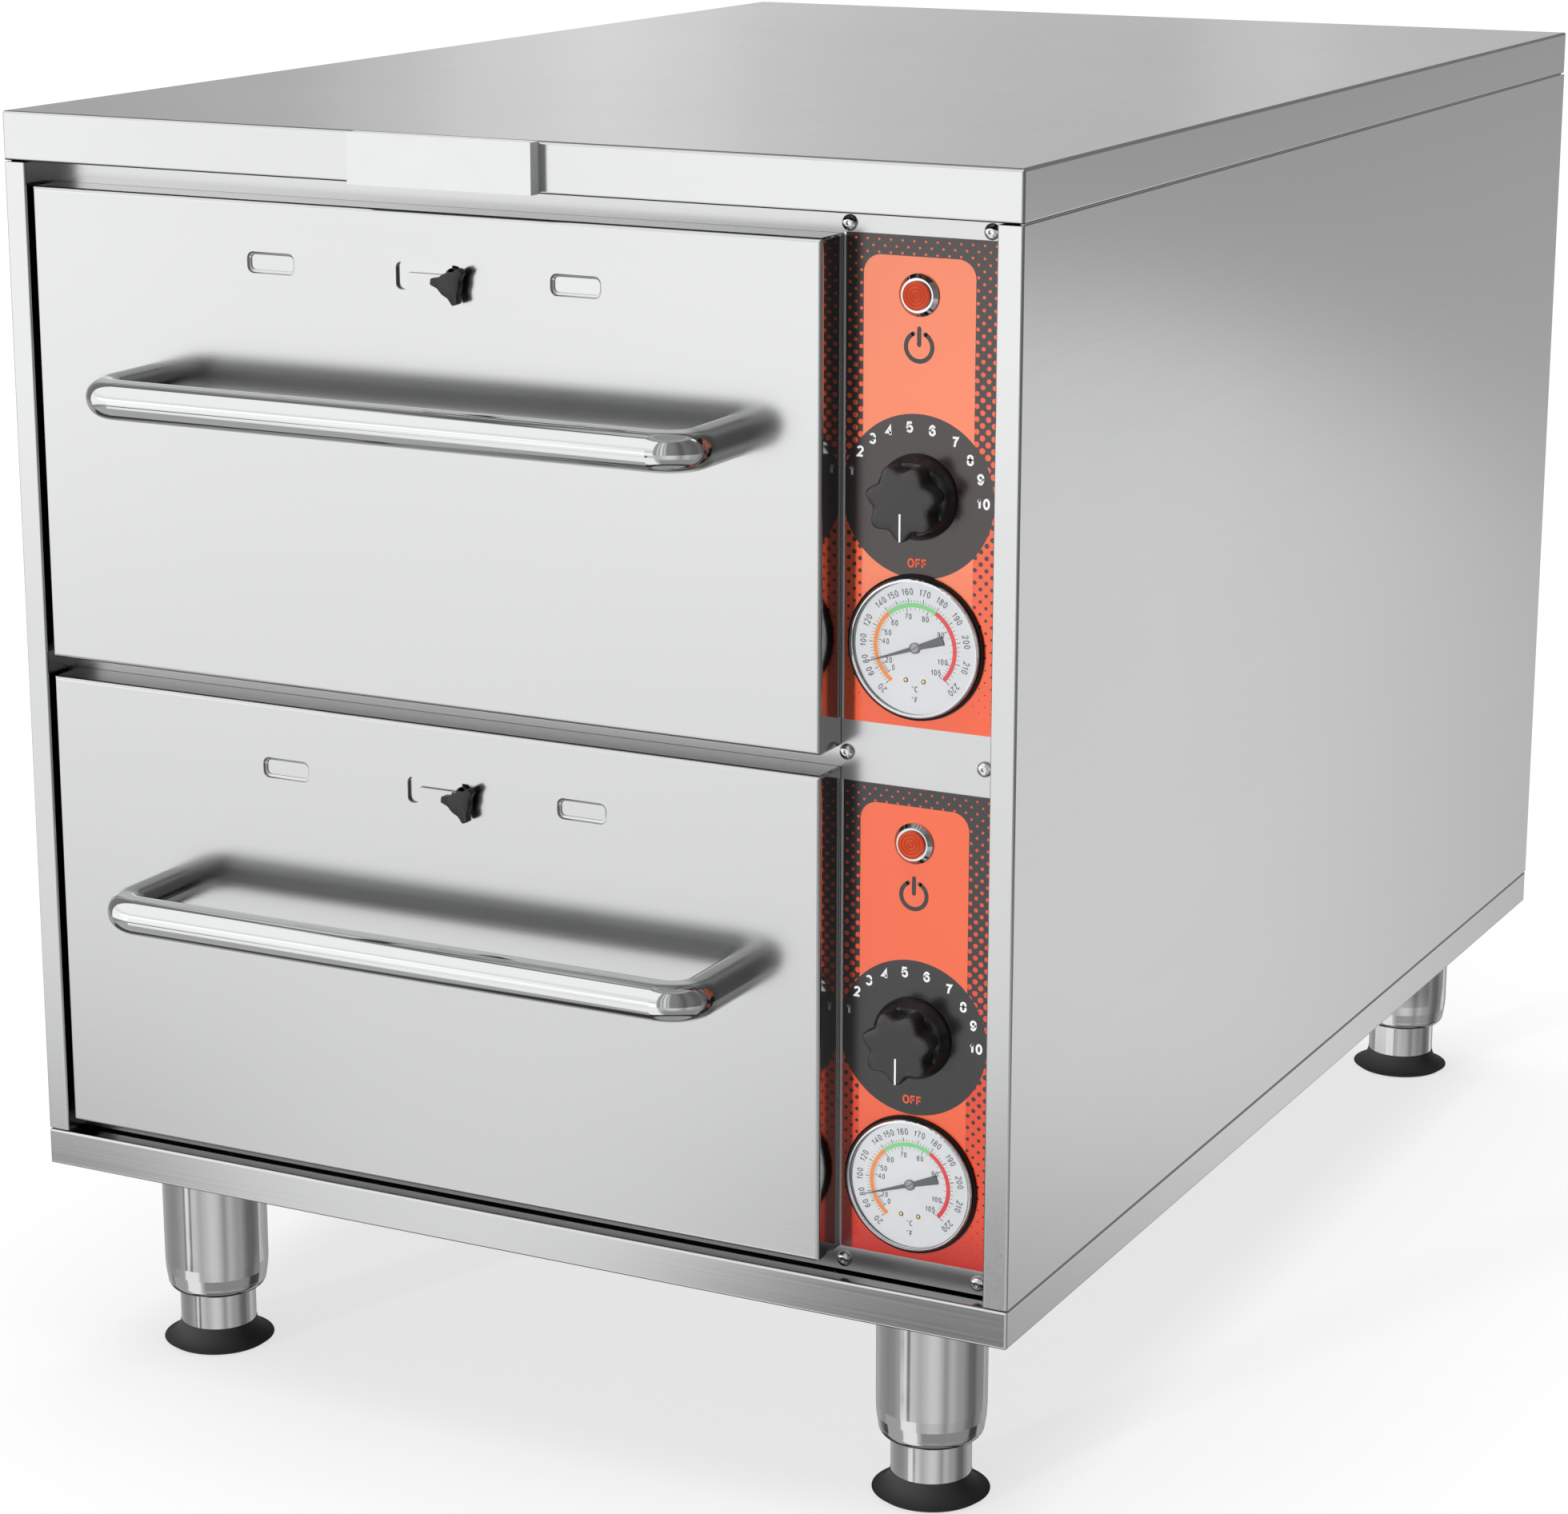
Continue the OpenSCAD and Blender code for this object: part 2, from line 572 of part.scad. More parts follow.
module carriage(dz) {
  color(dull) P() translate([0, 0, dz]) {
    // pan ring
    difference() {
      box(car_x0, car_x1, recess + 6, car_y1, -rim_z - t, -rim_z);
      box(pan_cx - 154.5, pan_cx + 154.5, 40, 554, -rim_z - 5, -rim_z + 5);
    }
    // side, front and rear walls
    for (x = [car_x0, car_x1 - t]) box(x, x + t, recess - 1, car_y1, -rim_z - 50, -rim_z);
    box(car_x0, car_x1, recess - 1, recess - 1 + t, -rim_z - 50, -rim_z - 10);
    box(car_x0, car_x1, car_y1 - t, car_y1, -rim_z - 50, -rim_z);
    // inner rails on the side walls
    translate([0, 0, -rail_z]) for (s = [1, -1]) translate([s > 0 ? cav_x0 + t : cav_x1 - t, 0, 0]) scale([s, 1, 1]) {
      for (q = [[12.8, 14], [-14, -12.8]]) box(5.4, 13.3, rail_y0, rail_y1 - 40, q[0], q[1]);
      box(12, 13.3, rail_y0, rail_y1 - 40, -14, 14);
    }
  }
}
module pan(dz) {
  color([0.83, 0.84, 0.85]) P() translate([pan_cx, 297, dz - rim_z]) {
    difference() {
      union() {
        rz(-152.5, 152.5, -255, 255, -150, 0.5, 22);
        rz(-162.5, 162.5, -265, 265, 0, 1.2, 28);
      }
      rz(-151.3, 151.3, -253.8, 253.8, -148.8, 5, 20.8);
    }
  }
}
module handle(zh) {
  b = handle_bend; r = handle_d/2;
  color(chrome) P() translate([0, 0, zh]) difference() {
    union() {
      cy(handle_x0, 0, -handle_reach + b, 0, r);
      cy(handle_x1, 0, -handle_reach + b, 0, r);
      translate([handle_x0 + b, -handle_reach, 0]) rotate([0, 90, 0]) cylinder(r = r, h = handle_x1 - handle_x0 - 2*b);
      translate([handle_x0 + b, -handle_reach + b, 0]) rotate([0, 0, 180]) rotate_extrude(angle = 90) translate([b, 0]) circle(r);
      translate([handle_x1 - b, -handle_reach + b, 0]) rotate([0, 0, 270]) rotate_extrude(angle = 90) translate([b, 0]) circle(r);
    }
    for (x = [handle_x0, handle_x1]) cy(x, 0, -16, 1, 3.1);
  }
}
module handle_screws(zh) {
  color(dull) P() for (x = [handle_x0, handle_x1]) {
    cy(x, zh, -15, t + e, 3);
    cy(x, zh, t, t + 1.2, 8);
    cy(x, zh, t + 1.2 - e, t + 5, 5);
  }
}
module vent_plate(zv) {
  color(steel) P() difference() {
    box(112, 346, 1.7, 2.9, zv - 17, zv + 17);
    for (x = [oval_xa, oval_xb]) oval(x + vent_travel, zv, oval_w, oval_h, 0, 5);
    box(238.5 - 2.25, 238.5 + 2.25, 0, 5, zv + stem_z - 10, zv + stem_z + 2.3);
  }
}
module vent_knob(zv) {
  color(black) P() {
    // three-lobed head, its screw near the upper edge
    translate([238.85, -2.4, zv - 2.7]) rotate([90, 0, 0]) {
      linear_extrude(4.2) {
        circle(5.3);
        for (a = [172.9, 291.6, 47.4]) rotate(a) polygon([[3.9, -3.5], [5.4, -2.4], [7.3, -1.85], [8.6, -1.6], [9, -1.2], [9, 1.2], [8.6, 1.6], [7.3, 1.85], [5.4, 2.4], [3.9, 3.5]]);
      }
    }
    cy(238.5, zv + 0.9, -2.6, -0.8, 3.1);
    cy(238.5, zv + stem_z, -2.6, 6.2, 1.5);
    cy(238.5, zv + stem_z, 3.3, 5.3, 4.4);
  }
}

module upper_drawer_front() { drawer_front(-upper_top, upper_h, -upper_vent_z, -upper_handle_z); }
module upper_drawer_liner() { drawer_liner(-upper_top, upper_h, -upper_vent_z); }
module upper_carriage() { carriage(0); }
module upper_pan() { pan(0); }
module upper_handle() { handle(-upper_handle_z); }
module upper_handle_screws() { handle_screws(-upper_handle_z); }
module upper_vent_plate() { vent_plate(-upper_vent_z); }
module upper_vent_knob() { vent_knob(-upper_vent_z); }
module lower_drawer_front() { drawer_front(-lower_top, lower_h, -lower_vent_z, -lower_handle_z); }
module lower_drawer_liner() { drawer_liner(-lower_top, lower_h, -lower_vent_z); }
module lower_carriage() { carriage(-pitch); }
module lower_pan() { pan(-pitch); }
module lower_handle() { handle(-lower_handle_z); }
module lower_handle_screws() { handle_screws(-lower_handle_z); }
module lower_vent_plate() { vent_plate(-lower_vent_z); }
module lower_vent_knob() { vent_knob(-lower_vent_z); }

// ---------- draw ----------
top_cover();
left_side_panel();
right_side_panel();
rear_panel();
base_pan();
front_panel();
cavity_liners();
control_partition();
insulation();
outer_rails();
heating_elements();
sensor_bulbs();
thermostats();
upper_control_label();
lower_control_label();
pilot_bezels();
pilot_lenses();
gauge_cases();
gauge_bezels();
gauge_lenses();
panel_screws();
nameplate();
rear_access_cover();
rear_cover_screws();
cord_gland();
terminal_block();
leg_plates();
leg_tubes();
foot_front_left();
pad_front_left();
foot_front_right();
pad_front_right();
foot_rear_left();
pad_rear_left();
foot_rear_right();
pad_rear_right();
upper_drawer_front();
upper_drawer_liner();
upper_carriage();
upper_pan();
upper_handle();
upper_handle_screws();
upper_mid_rails();
upper_vent_plate();
upper_vent_knob();
upper_temp_knob();
upper_knob_shaft();
upper_gauge_needle();
lower_drawer_front();
lower_drawer_liner();
lower_carriage();
lower_pan();
lower_handle();
lower_handle_screws();
lower_mid_rails();
lower_vent_plate();
lower_vent_knob();
lower_temp_knob();
lower_knob_shaft();
lower_gauge_needle();
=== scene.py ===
import bpy, bmesh, json, math
from math import pi, sin, cos, radians, degrees, atan2, hypot
from mathutils import Vector, Matrix

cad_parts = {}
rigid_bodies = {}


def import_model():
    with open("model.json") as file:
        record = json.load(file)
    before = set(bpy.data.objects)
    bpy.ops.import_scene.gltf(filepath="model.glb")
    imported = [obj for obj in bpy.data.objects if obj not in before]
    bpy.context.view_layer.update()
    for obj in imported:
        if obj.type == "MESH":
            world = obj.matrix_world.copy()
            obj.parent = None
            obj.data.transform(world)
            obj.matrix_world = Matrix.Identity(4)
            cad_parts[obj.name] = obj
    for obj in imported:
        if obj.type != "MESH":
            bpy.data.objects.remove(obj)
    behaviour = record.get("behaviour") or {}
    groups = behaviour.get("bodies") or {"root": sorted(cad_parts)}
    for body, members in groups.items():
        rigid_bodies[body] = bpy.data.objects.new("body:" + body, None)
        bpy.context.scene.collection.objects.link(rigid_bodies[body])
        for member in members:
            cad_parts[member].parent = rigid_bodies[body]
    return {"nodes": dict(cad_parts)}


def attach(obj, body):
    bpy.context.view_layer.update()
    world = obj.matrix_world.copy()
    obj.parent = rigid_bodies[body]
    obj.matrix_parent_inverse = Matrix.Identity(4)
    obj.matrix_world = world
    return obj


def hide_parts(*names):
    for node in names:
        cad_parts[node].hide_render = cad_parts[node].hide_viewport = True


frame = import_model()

for o in list(bpy.data.objects):
    if o.name in ("Cube", "Light", "Camera") and o.name not in frame["nodes"]:
        bpy.data.objects.remove(o, do_unlink=True)
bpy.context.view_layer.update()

N = frame["nodes"]
FY = -(50.4 + 752 + 14) / 2 + 50.4


def V(x, y, z):
    """Cabinet millimetres (from the left side, the front face, down from the top) to the row frame in metres."""
    return Vector(((x - 252.5) / 1000, (y + FY) / 1000, (604.1 + z) / 1000))


# ------------------------------------------------------------------ node helper
class T:
    def __init__(self, tree):
        self.t, self.n, self.l = tree, tree.nodes, tree.links

    def node(self, kind, **props):
        nd = self.n.new(kind)
        for k, v in props.items():
            setattr(nd, k, v)
        return nd

    def put(self, sock, v):
        if v is None:
            return
        if hasattr(v, "is_output") or isinstance(v, bpy.types.NodeSocket):
            self.l.new(v, sock)
        else:
            sock.default_value = v

    def m(self, op, a, b=None, c=None, clamp=False):
        nd = self.node("ShaderNodeMath", operation=op, use_clamp=clamp)
        self.put(nd.inputs[0], a)
        self.put(nd.inputs[1], b)
        self.put(nd.inputs[2], c)
        return nd.outputs[0]

    def vm(self, op, a, b=None, scale=None):
        nd = self.node("ShaderNodeVectorMath", operation=op)
        self.put(nd.inputs[0], a)
        self.put(nd.inputs[1], b)
        if scale is not None:
            self.put(nd.inputs["Scale"], scale)
        return nd.outputs["Value"] if op in ("LENGTH", "DOT_PRODUCT", "DISTANCE") else nd.outputs["Vector"]

    def sep(self, v):
        nd = self.node("ShaderNodeSeparateXYZ")
        self.l.new(v, nd.inputs[0])
        return nd.outputs

    def comb(self, x, y, z):
        nd = self.node("ShaderNodeCombineXYZ")
        for s, v in zip(nd.inputs, (x, y, z)):
            self.put(s, v)
        return nd.outputs[0]

    def mixc(self, f, a, b, blend="MIX"):
        nd = self.node("ShaderNodeMix", data_type="RGBA", blend_type=blend)
        self.put(nd.inputs["Factor"], f)
        for i, v in ((6, a), (7, b)):
            if isinstance(v, (tuple, list)):
                v = (*v[:3], 1.0)
            self.put(nd.inputs[i], v)
        return nd.outputs[2]

    def mixf(self, f, a, b):
        nd = self.node("ShaderNodeMix", data_type="FLOAT")
        self.put(nd.inputs["Factor"], f)
        self.put(nd.inputs[2], a)
        self.put(nd.inputs[3], b)
        return nd.outputs[0]

    def step(self, v, a, b, smooth=True, lo=0.0, hi=1.0):
        """Map v from a..b to lo..hi, clamped."""
        nd = self.node("ShaderNodeMapRange", interpolation_type="SMOOTHSTEP" if smooth else "LINEAR", clamp=True)
        self.put(nd.inputs["Value"], v)
        for k, x in (("From Min", a), ("From Max", b), ("To Min", lo), ("To Max", hi)):
            self.put(nd.inputs[k], x)
        return nd.outputs[0]

    def ramp(self, v, stops):
        """Piecewise curve through (x, value) stops, up to 32 of them."""
        lo, hi = stops[0][0], stops[-1][0]
        top = max(q for _, q in stops)
        nd = self.node("ShaderNodeValToRGB")
        cr = nd.color_ramp
        cr.interpolation = "EASE"
        cr.elements[0].position, cr.elements[1].position = 0.0, 1.0
        for x, _ in stops[1:-1]:
            cr.elements.new((x - lo) / (hi - lo))
        for e_, (_, q) in zip(cr.elements, stops):
            e_.color = (q / top, q / top, q / top, 1.0)
        self.put(nd.inputs[0], self.step(v, lo, hi, False))
        return self.m("MULTIPLY", nd.outputs[0], top)

    def noise(self, vec, scale, detail=2.0, rough=0.5):
        nd = self.node("ShaderNodeTexNoise")
        self.put(nd.inputs["Vector"], vec)
        nd.inputs["Scale"].default_value = scale
        nd.inputs["Detail"].default_value = detail
        nd.inputs["Roughness"].default_value = rough
        return nd.outputs["Fac"]

    def bump(self, h, strength, dist=0.001, normal=None):
        nd = self.node("ShaderNodeBump")
        nd.inputs["Strength"].default_value = strength
        nd.inputs["Distance"].default_value = dist
        self.put(nd.inputs["Height"], h)
        if normal is not None:
            self.l.new(normal, nd.inputs["Normal"])
        return nd.outputs[0]


def new_mat(name, color=(0.8, 0.8, 0.8), metallic=0.0, rough=0.5, **kw):
    m = bpy.data.materials.new(name)
    m.use_nodes = True
    t = T(m.node_tree)
    b = m.node_tree.nodes["Principled BSDF"]
    b.inputs["Base Color"].default_value = (*color[:3], 1)
    b.inputs["Metallic"].default_value = metallic
    b.inputs["Roughness"].default_value = rough
    for k, v in kw.items():
        b.inputs[k.replace("_", " ")].default_value = v
    tc = t.node("ShaderNodeTexCoord")
    return m, t, b, tc.outputs["Object"]


def lin(h):
    """#RRGGBB to linear."""
    c = [int(h[i:i + 2], 16) / 255 for i in (1, 3, 5)]
    return tuple(x / 12.92 if x <= 0.04045 else ((x + 0.055) / 1.055) ** 2.4 for x in c)


# ------------------------------------------------------------------ materials
def steel(name, color, rough, grain, var=0.05, streak=0.02, bump=0.02, smudge=0.03, edge=0.0, back_shade_and_finish=None, inner=None, painted_edge_shades=()):
    """Brushed sheet: fine grain along one axis, faint roughness streaks and slow smudges.
    back = (tone, roughness, from, to): behind a plane y (mm) the base colour is darkened by tone, painted shade, and
    the roughness changes to a duller finish; tones = (axis, from, to, tone) in mm: a painted shade band darkening the
    sheet towards an edge;
    inner = a darker tone inside the outer walls, painted shade."""
    m, t, b, co = new_mat(name, color, 1.0, rough)
    sc = {"x": (3.0, 420.0, 420.0), "y": (420.0, 3.0, 420.0), "z": (420.0, 420.0, 3.0), "xy": (30.0, 30.0, 420.0)}[grain]
    mp = t.node("ShaderNodeMapping")
    t.l.new(co, mp.inputs[0])
    mp.inputs["Scale"].default_value = sc
    g = t.noise(mp.outputs[0], 2.2, 3.0, 0.6)
    mp2 = t.node("ShaderNodeMapping")
    t.l.new(co, mp2.inputs[0])
    mp2.inputs["Scale"].default_value = tuple(s * 0.12 for s in sc)
    g2 = t.noise(mp2.outputs[0], 1.0, 2.0, 0.5)
    slow = t.noise(co, 6.0, 3.0, 0.55)
    r = t.m("ADD", t.m("MULTIPLY", t.m("SUBTRACT", g, 0.5), var), rough)
    r = t.m("ADD", t.m("MULTIPLY", t.m("SUBTRACT", slow, 0.5), smudge), r)
    k = t.m("ADD", t.m("MULTIPLY", t.m("SUBTRACT", g2, 0.5), streak), 1.0)
    k = t.m("ADD", t.m("MULTIPLY", t.m("SUBTRACT", g, 0.5), streak), k)
    # painted shade: behind the plane the base colour is darkened; the roughness change is the finish
    if back_shade_and_finish:
        deep = t.step(t.sep(co)[1], (FY + back_shade_and_finish[2]) / 1000, (FY + back_shade_and_finish[3]) / 1000)
        k = t.m("MULTIPLY", k, t.mixf(deep, 1.0, back_shade_and_finish[0]))
        r = t.mixf(deep, r, back_shade_and_finish[1])
    # painted shade: the base colour is darkened inside the outer walls
    if inner:
        c = t.sep(co)
        q = t.m("MULTIPLY", t.step(t.m("ABSOLUTE", c[0]), 0.2500, 0.2490), t.step(c[1], (FY + 2.2) / 1000, (FY + 3.2) / 1000))
        q = t.m("MULTIPLY", q, t.m("MULTIPLY", t.step(c[1], (FY + 749.8) / 1000, (FY + 748.8) / 1000), t.step(c[2], 0.0984, 0.0990)))
        k = t.m("MULTIPLY", k, t.mixf(q, 1.0, inner))
    # painted shade: the base colour is darkened towards an edge
    for ax, lo, hi, tone in painted_edge_shades:
        k = t.m("MULTIPLY", k, t.mixf(t.step(t.sep(co)[ax], lo / 1000, hi / 1000), 1.0, tone))
    t.l.new(t.m("MAXIMUM", r, 0.03), b.inputs["Roughness"])
    t.l.new(t.vm("SCALE", t.comb(color[0], color[1], color[2]), scale=k), b.inputs["Base Color"])
    nrm = None
    if edge > 0:
        bv = t.node("ShaderNodeBevel", samples=6)
        bv.inputs["Radius"].default_value = edge
        nrm = bv.outputs[0]
    t.l.new(t.bump(g, bump, 0.0002, nrm), b.inputs["Normal"])
    return m


def plastic(name, color, rough, grain=900.0, bump=0.05, spec=0.5):
    m, t, b, co = new_mat(name, color, 0.0, rough)
    b.inputs["Specular IOR Level"].default_value = spec
    g = t.noise(co, grain, 2.0, 0.6)
    slow = t.noise(co, 60.0, 2.0, 0.5)
    t.l.new(t.m("ADD", t.m("MULTIPLY", t.m("SUBTRACT", slow, 0.5), 0.08), rough), b.inputs["Roughness"])
    k = t.m("ADD", t.m("MULTIPLY", t.m("SUBTRACT", slow, 0.5), 0.06), 1.0)
    t.l.new(t.vm("SCALE", t.comb(*color[:3]), scale=k), b.inputs["Base Color"])
    t.l.new(t.bump(g, bump, 0.0002), b.inputs["Normal"])
    return m


ST = (0.50, 0.5035, 0.502)
COVER, REACH = 22.4, 41.4
MAT = {}
MAT["steel_front"] = steel("steel_front", ST, 0.13, "x")
MAT["steel_panel"] = steel("steel_panel", ST, 0.25, "x")
# the drawer's sides behind its front are painted darker, painted shade in the recess, and given a smoother finish
MAT["steel_drawer"] = steel("steel_drawer", ST, 0.19, "x", back_shade_and_finish=(0.70, 0.10, 1.6, 2.6))
# inside the base pan's walls the colour is painted darker: painted shade
MAT["steel_base"] = steel("steel_base", ST, 0.11, "x", inner=0.55)
MAT["steel_side"] = steel("steel_side", ST, 0.15, "y")
# a painted shade line along the cover's lower edge
MAT["steel_top"] = steel("steel_top", ST, 0.17, "y", painted_edge_shades=((2, 604.1 - COVER + 0.85, 604.1 - COVER + 0.45, 0.12),))
MAT["steel_inner"] = steel("steel_inner", (0.42, 0.425, 0.43), 0.34, "y", var=0.1, smudge=0.1)
MAT["steel_leg"] = steel("steel_leg", (0.52, 0.523, 0.52), 0.10, "z", var=0.06, streak=0.05)
MAT["steel_foot"] = steel("steel_foot", (0.52, 0.523, 0.52), 0.10, "xy", var=0.06, streak=0.05)
MAT["pan_steel"] = steel("pan_steel", (0.55, 0.555, 0.555), 0.24, "y", var=0.08)
MAT["chrome"] = steel("chrome", (0.56, 0.565, 0.57), 0.05, "xy", var=0.01, streak=0.0, bump=0.0, smudge=0.02)
# the back half of the bar is painted darker: painted shade, which also darkens the bar's reflection in the drawer front
MAT["handle_chrome"] = steel("handle_chrome", (0.57, 0.575, 0.575), 0.05, "x", var=0.03, streak=0.01, bump=0.004, smudge=0.03, back_shade_and_finish=(0.50, 0.10, 2.5 - REACH, 9.5 - REACH))
MAT["black_knob"] = plastic("black_knob", (0.013, 0.013, 0.013), 0.27, 700, 0.03, 0.55)
MAT["black_vent"] = plastic("black_vent", (0.016, 0.016, 0.016), 0.40, 700, 0.03, 0.35)
MAT["rubber"] = plastic("rubber", (0.038, 0.038, 0.039), 0.60, 500, 0.12, 0.3)
MAT["gland"] = plastic("gland", (0.03, 0.03, 0.03), 0.45)
MAT["nameplate"] = plastic("nameplate", (0.80, 0.81, 0.808), 0.40, 300, 0.01)
MAT["dial"] = plastic("dial", (0.72, 0.735, 0.755), 0.5, 300, 0.01)
MAT["wool"] = plastic("wool", (0.80, 0.72, 0.52), 0.95, 260, 0.6, 0.1)
MAT["terminal"] = plastic("terminal", (0.80, 0.77, 0.68), 0.5)
MAT["thermostat"] = steel("thermostat", (0.70, 0.69, 0.66), 0.4, "xy")
MAT["element"] = plastic("element", (0.09, 0.085, 0.08), 0.55, 800, 0.1)
MAT["copper"] = steel("copper", (0.78, 0.42, 0.27), 0.28, "y")
MAT["needle"] = plastic("needle", (0.105, 0.107, 0.11), 0.5, 400, 0.01)
MAT["white_ink"] = plastic("white_ink", (0.92, 0.92, 0.92), 0.4, 300, 0.0)
MAT["grey_ink"] = plastic("grey_ink", (0.016, 0.013, 0.013), 0.30, 300, 0.0, 0.7)
MAT["dial_ink"] = plastic("dial_ink", (0.10, 0.105, 0.115), 0.5, 300, 0.0)
MAT["tick_ink"] = plastic("tick_ink", (0.07, 0.085, 0.12), 0.5, 300, 0.0)
MAT["orange_ink"] = plastic("orange_ink", (0.85, 0.12, 0.045), 0.4, 300, 0.0)
MAT["arc_orange"] = plastic("arc_orange", (0.84, 0.27, 0.06), 0.5, 300, 0.0)
MAT["arc_green"] = plastic("arc_green", (0.22, 0.62, 0.25), 0.5, 300, 0.0)
MAT["arc_red"] = plastic("arc_red", (0.72, 0.06, 0.07), 0.5, 300, 0.0)
MAT["brass"] = steel("brass", (0.86, 0.62, 0.28), 0.3, "xy")
MAT["black_ring"] = plastic("black_ring", (0.004, 0.004, 0.004), 0.35, 500, 0.02, 0.3)


def bezel_mat():
    """Chrome in front of a black rear ring."""
    m, t, b, co = new_mat("gauge_bezel", (0.60, 0.605, 0.61), 1.0, 0.05)
    y = t.sep(co)[1]
    rear = t.step(y, (FY + 17.95) / 1000, (FY + 18.05) / 1000)
    g = t.noise(co, 120.0, 2.0)
    t.l.new(t.mixf(rear, 1.0, 0.0), b.inputs["Metallic"])
    t.l.new(t.mixc(rear, (0.60, 0.605, 0.61), (0.003, 0.003, 0.003)), b.inputs["Base Color"])
    t.l.new(t.m("ADD", t.mixf(rear, 0.04, 0.40), t.m("MULTIPLY", g, 0.03)), b.inputs["Roughness"])
    t.l.new(t.mixf(rear, 0.5, 0.15), b.inputs["Specular IOR Level"])
    t.l.new(t.bump(g, 0.004, 0.0002), b.inputs["Normal"])
    return m


MAT["gauge_bezel"] = bezel_mat()


def glass_mat():
    m, t, b, co = new_mat("gauge_glass", (1, 1, 1), 0.0, 0.03)
    tr = t.node("ShaderNodeBsdfTransparent")
    gl = t.node("ShaderNodeBsdfGlossy")
    gl.inputs["Roughness"].default_value = 0.03
    fr = t.node("ShaderNodeFresnel")
    fr.inputs["IOR"].default_value = 1.35
    mx = t.node("ShaderNodeMixShader")
    n = t.noise(co, 90.0, 1.0)
    t.l.new(t.bump(n, 0.005, 0.0002), gl.inputs["Normal"])
    t.l.new(fr.outputs[0], mx.inputs[0])
    t.l.new(tr.outputs[0], mx.inputs[1])
    t.l.new(gl.outputs[0], mx.inputs[2])
    t.l.new(mx.outputs[0], t.n["Material Output"].inputs["Surface"])
    return m


MAT["glass"] = glass_mat()


def lens_mat(zs):
    """Orange-red pilot lens with moulded rings round each lamp's axis."""
    m, t, b, co = new_mat("pilot_lens", (0.62, 0.075, 0.012), 0.0, 0.30)
    b.inputs["Emission Color"].default_value = (0.75, 0.07, 0.004, 1)
    b.inputs["Emission Strength"].default_value = 0.10
    x, y, z = t.sep(co)
    d = None
    for zc in zs:
        c = V(450.2, 15, zc)
        r = t.m("SQRT", t.m("ADD", t.m("POWER", t.m("ABSOLUTE", t.m("SUBTRACT", x, c.x)), 2.0), t.m("POWER", t.m("ABSOLUTE", t.m("SUBTRACT", z, c.z)), 2.0)))
        d = r if d is None else t.m("MINIMUM", d, r)
    w = t.m("SINE", t.m("MULTIPLY", d, 2 * pi / 0.00155))
    t.l.new(t.bump(w, 0.5, 0.00035), b.inputs["Normal"])
    # the base colour follows the rings, lighter on their crests and darker in their grooves: painted shade
    col = t.mixc(t.step(w, -1.0, 1.0), (0.42, 0.030, 0.003), (0.58, 0.055, 0.006))
    t.l.new(col, b.inputs["Base Color"])
    return m


MAT["lens"] = lens_mat((-56.6, -291.3))


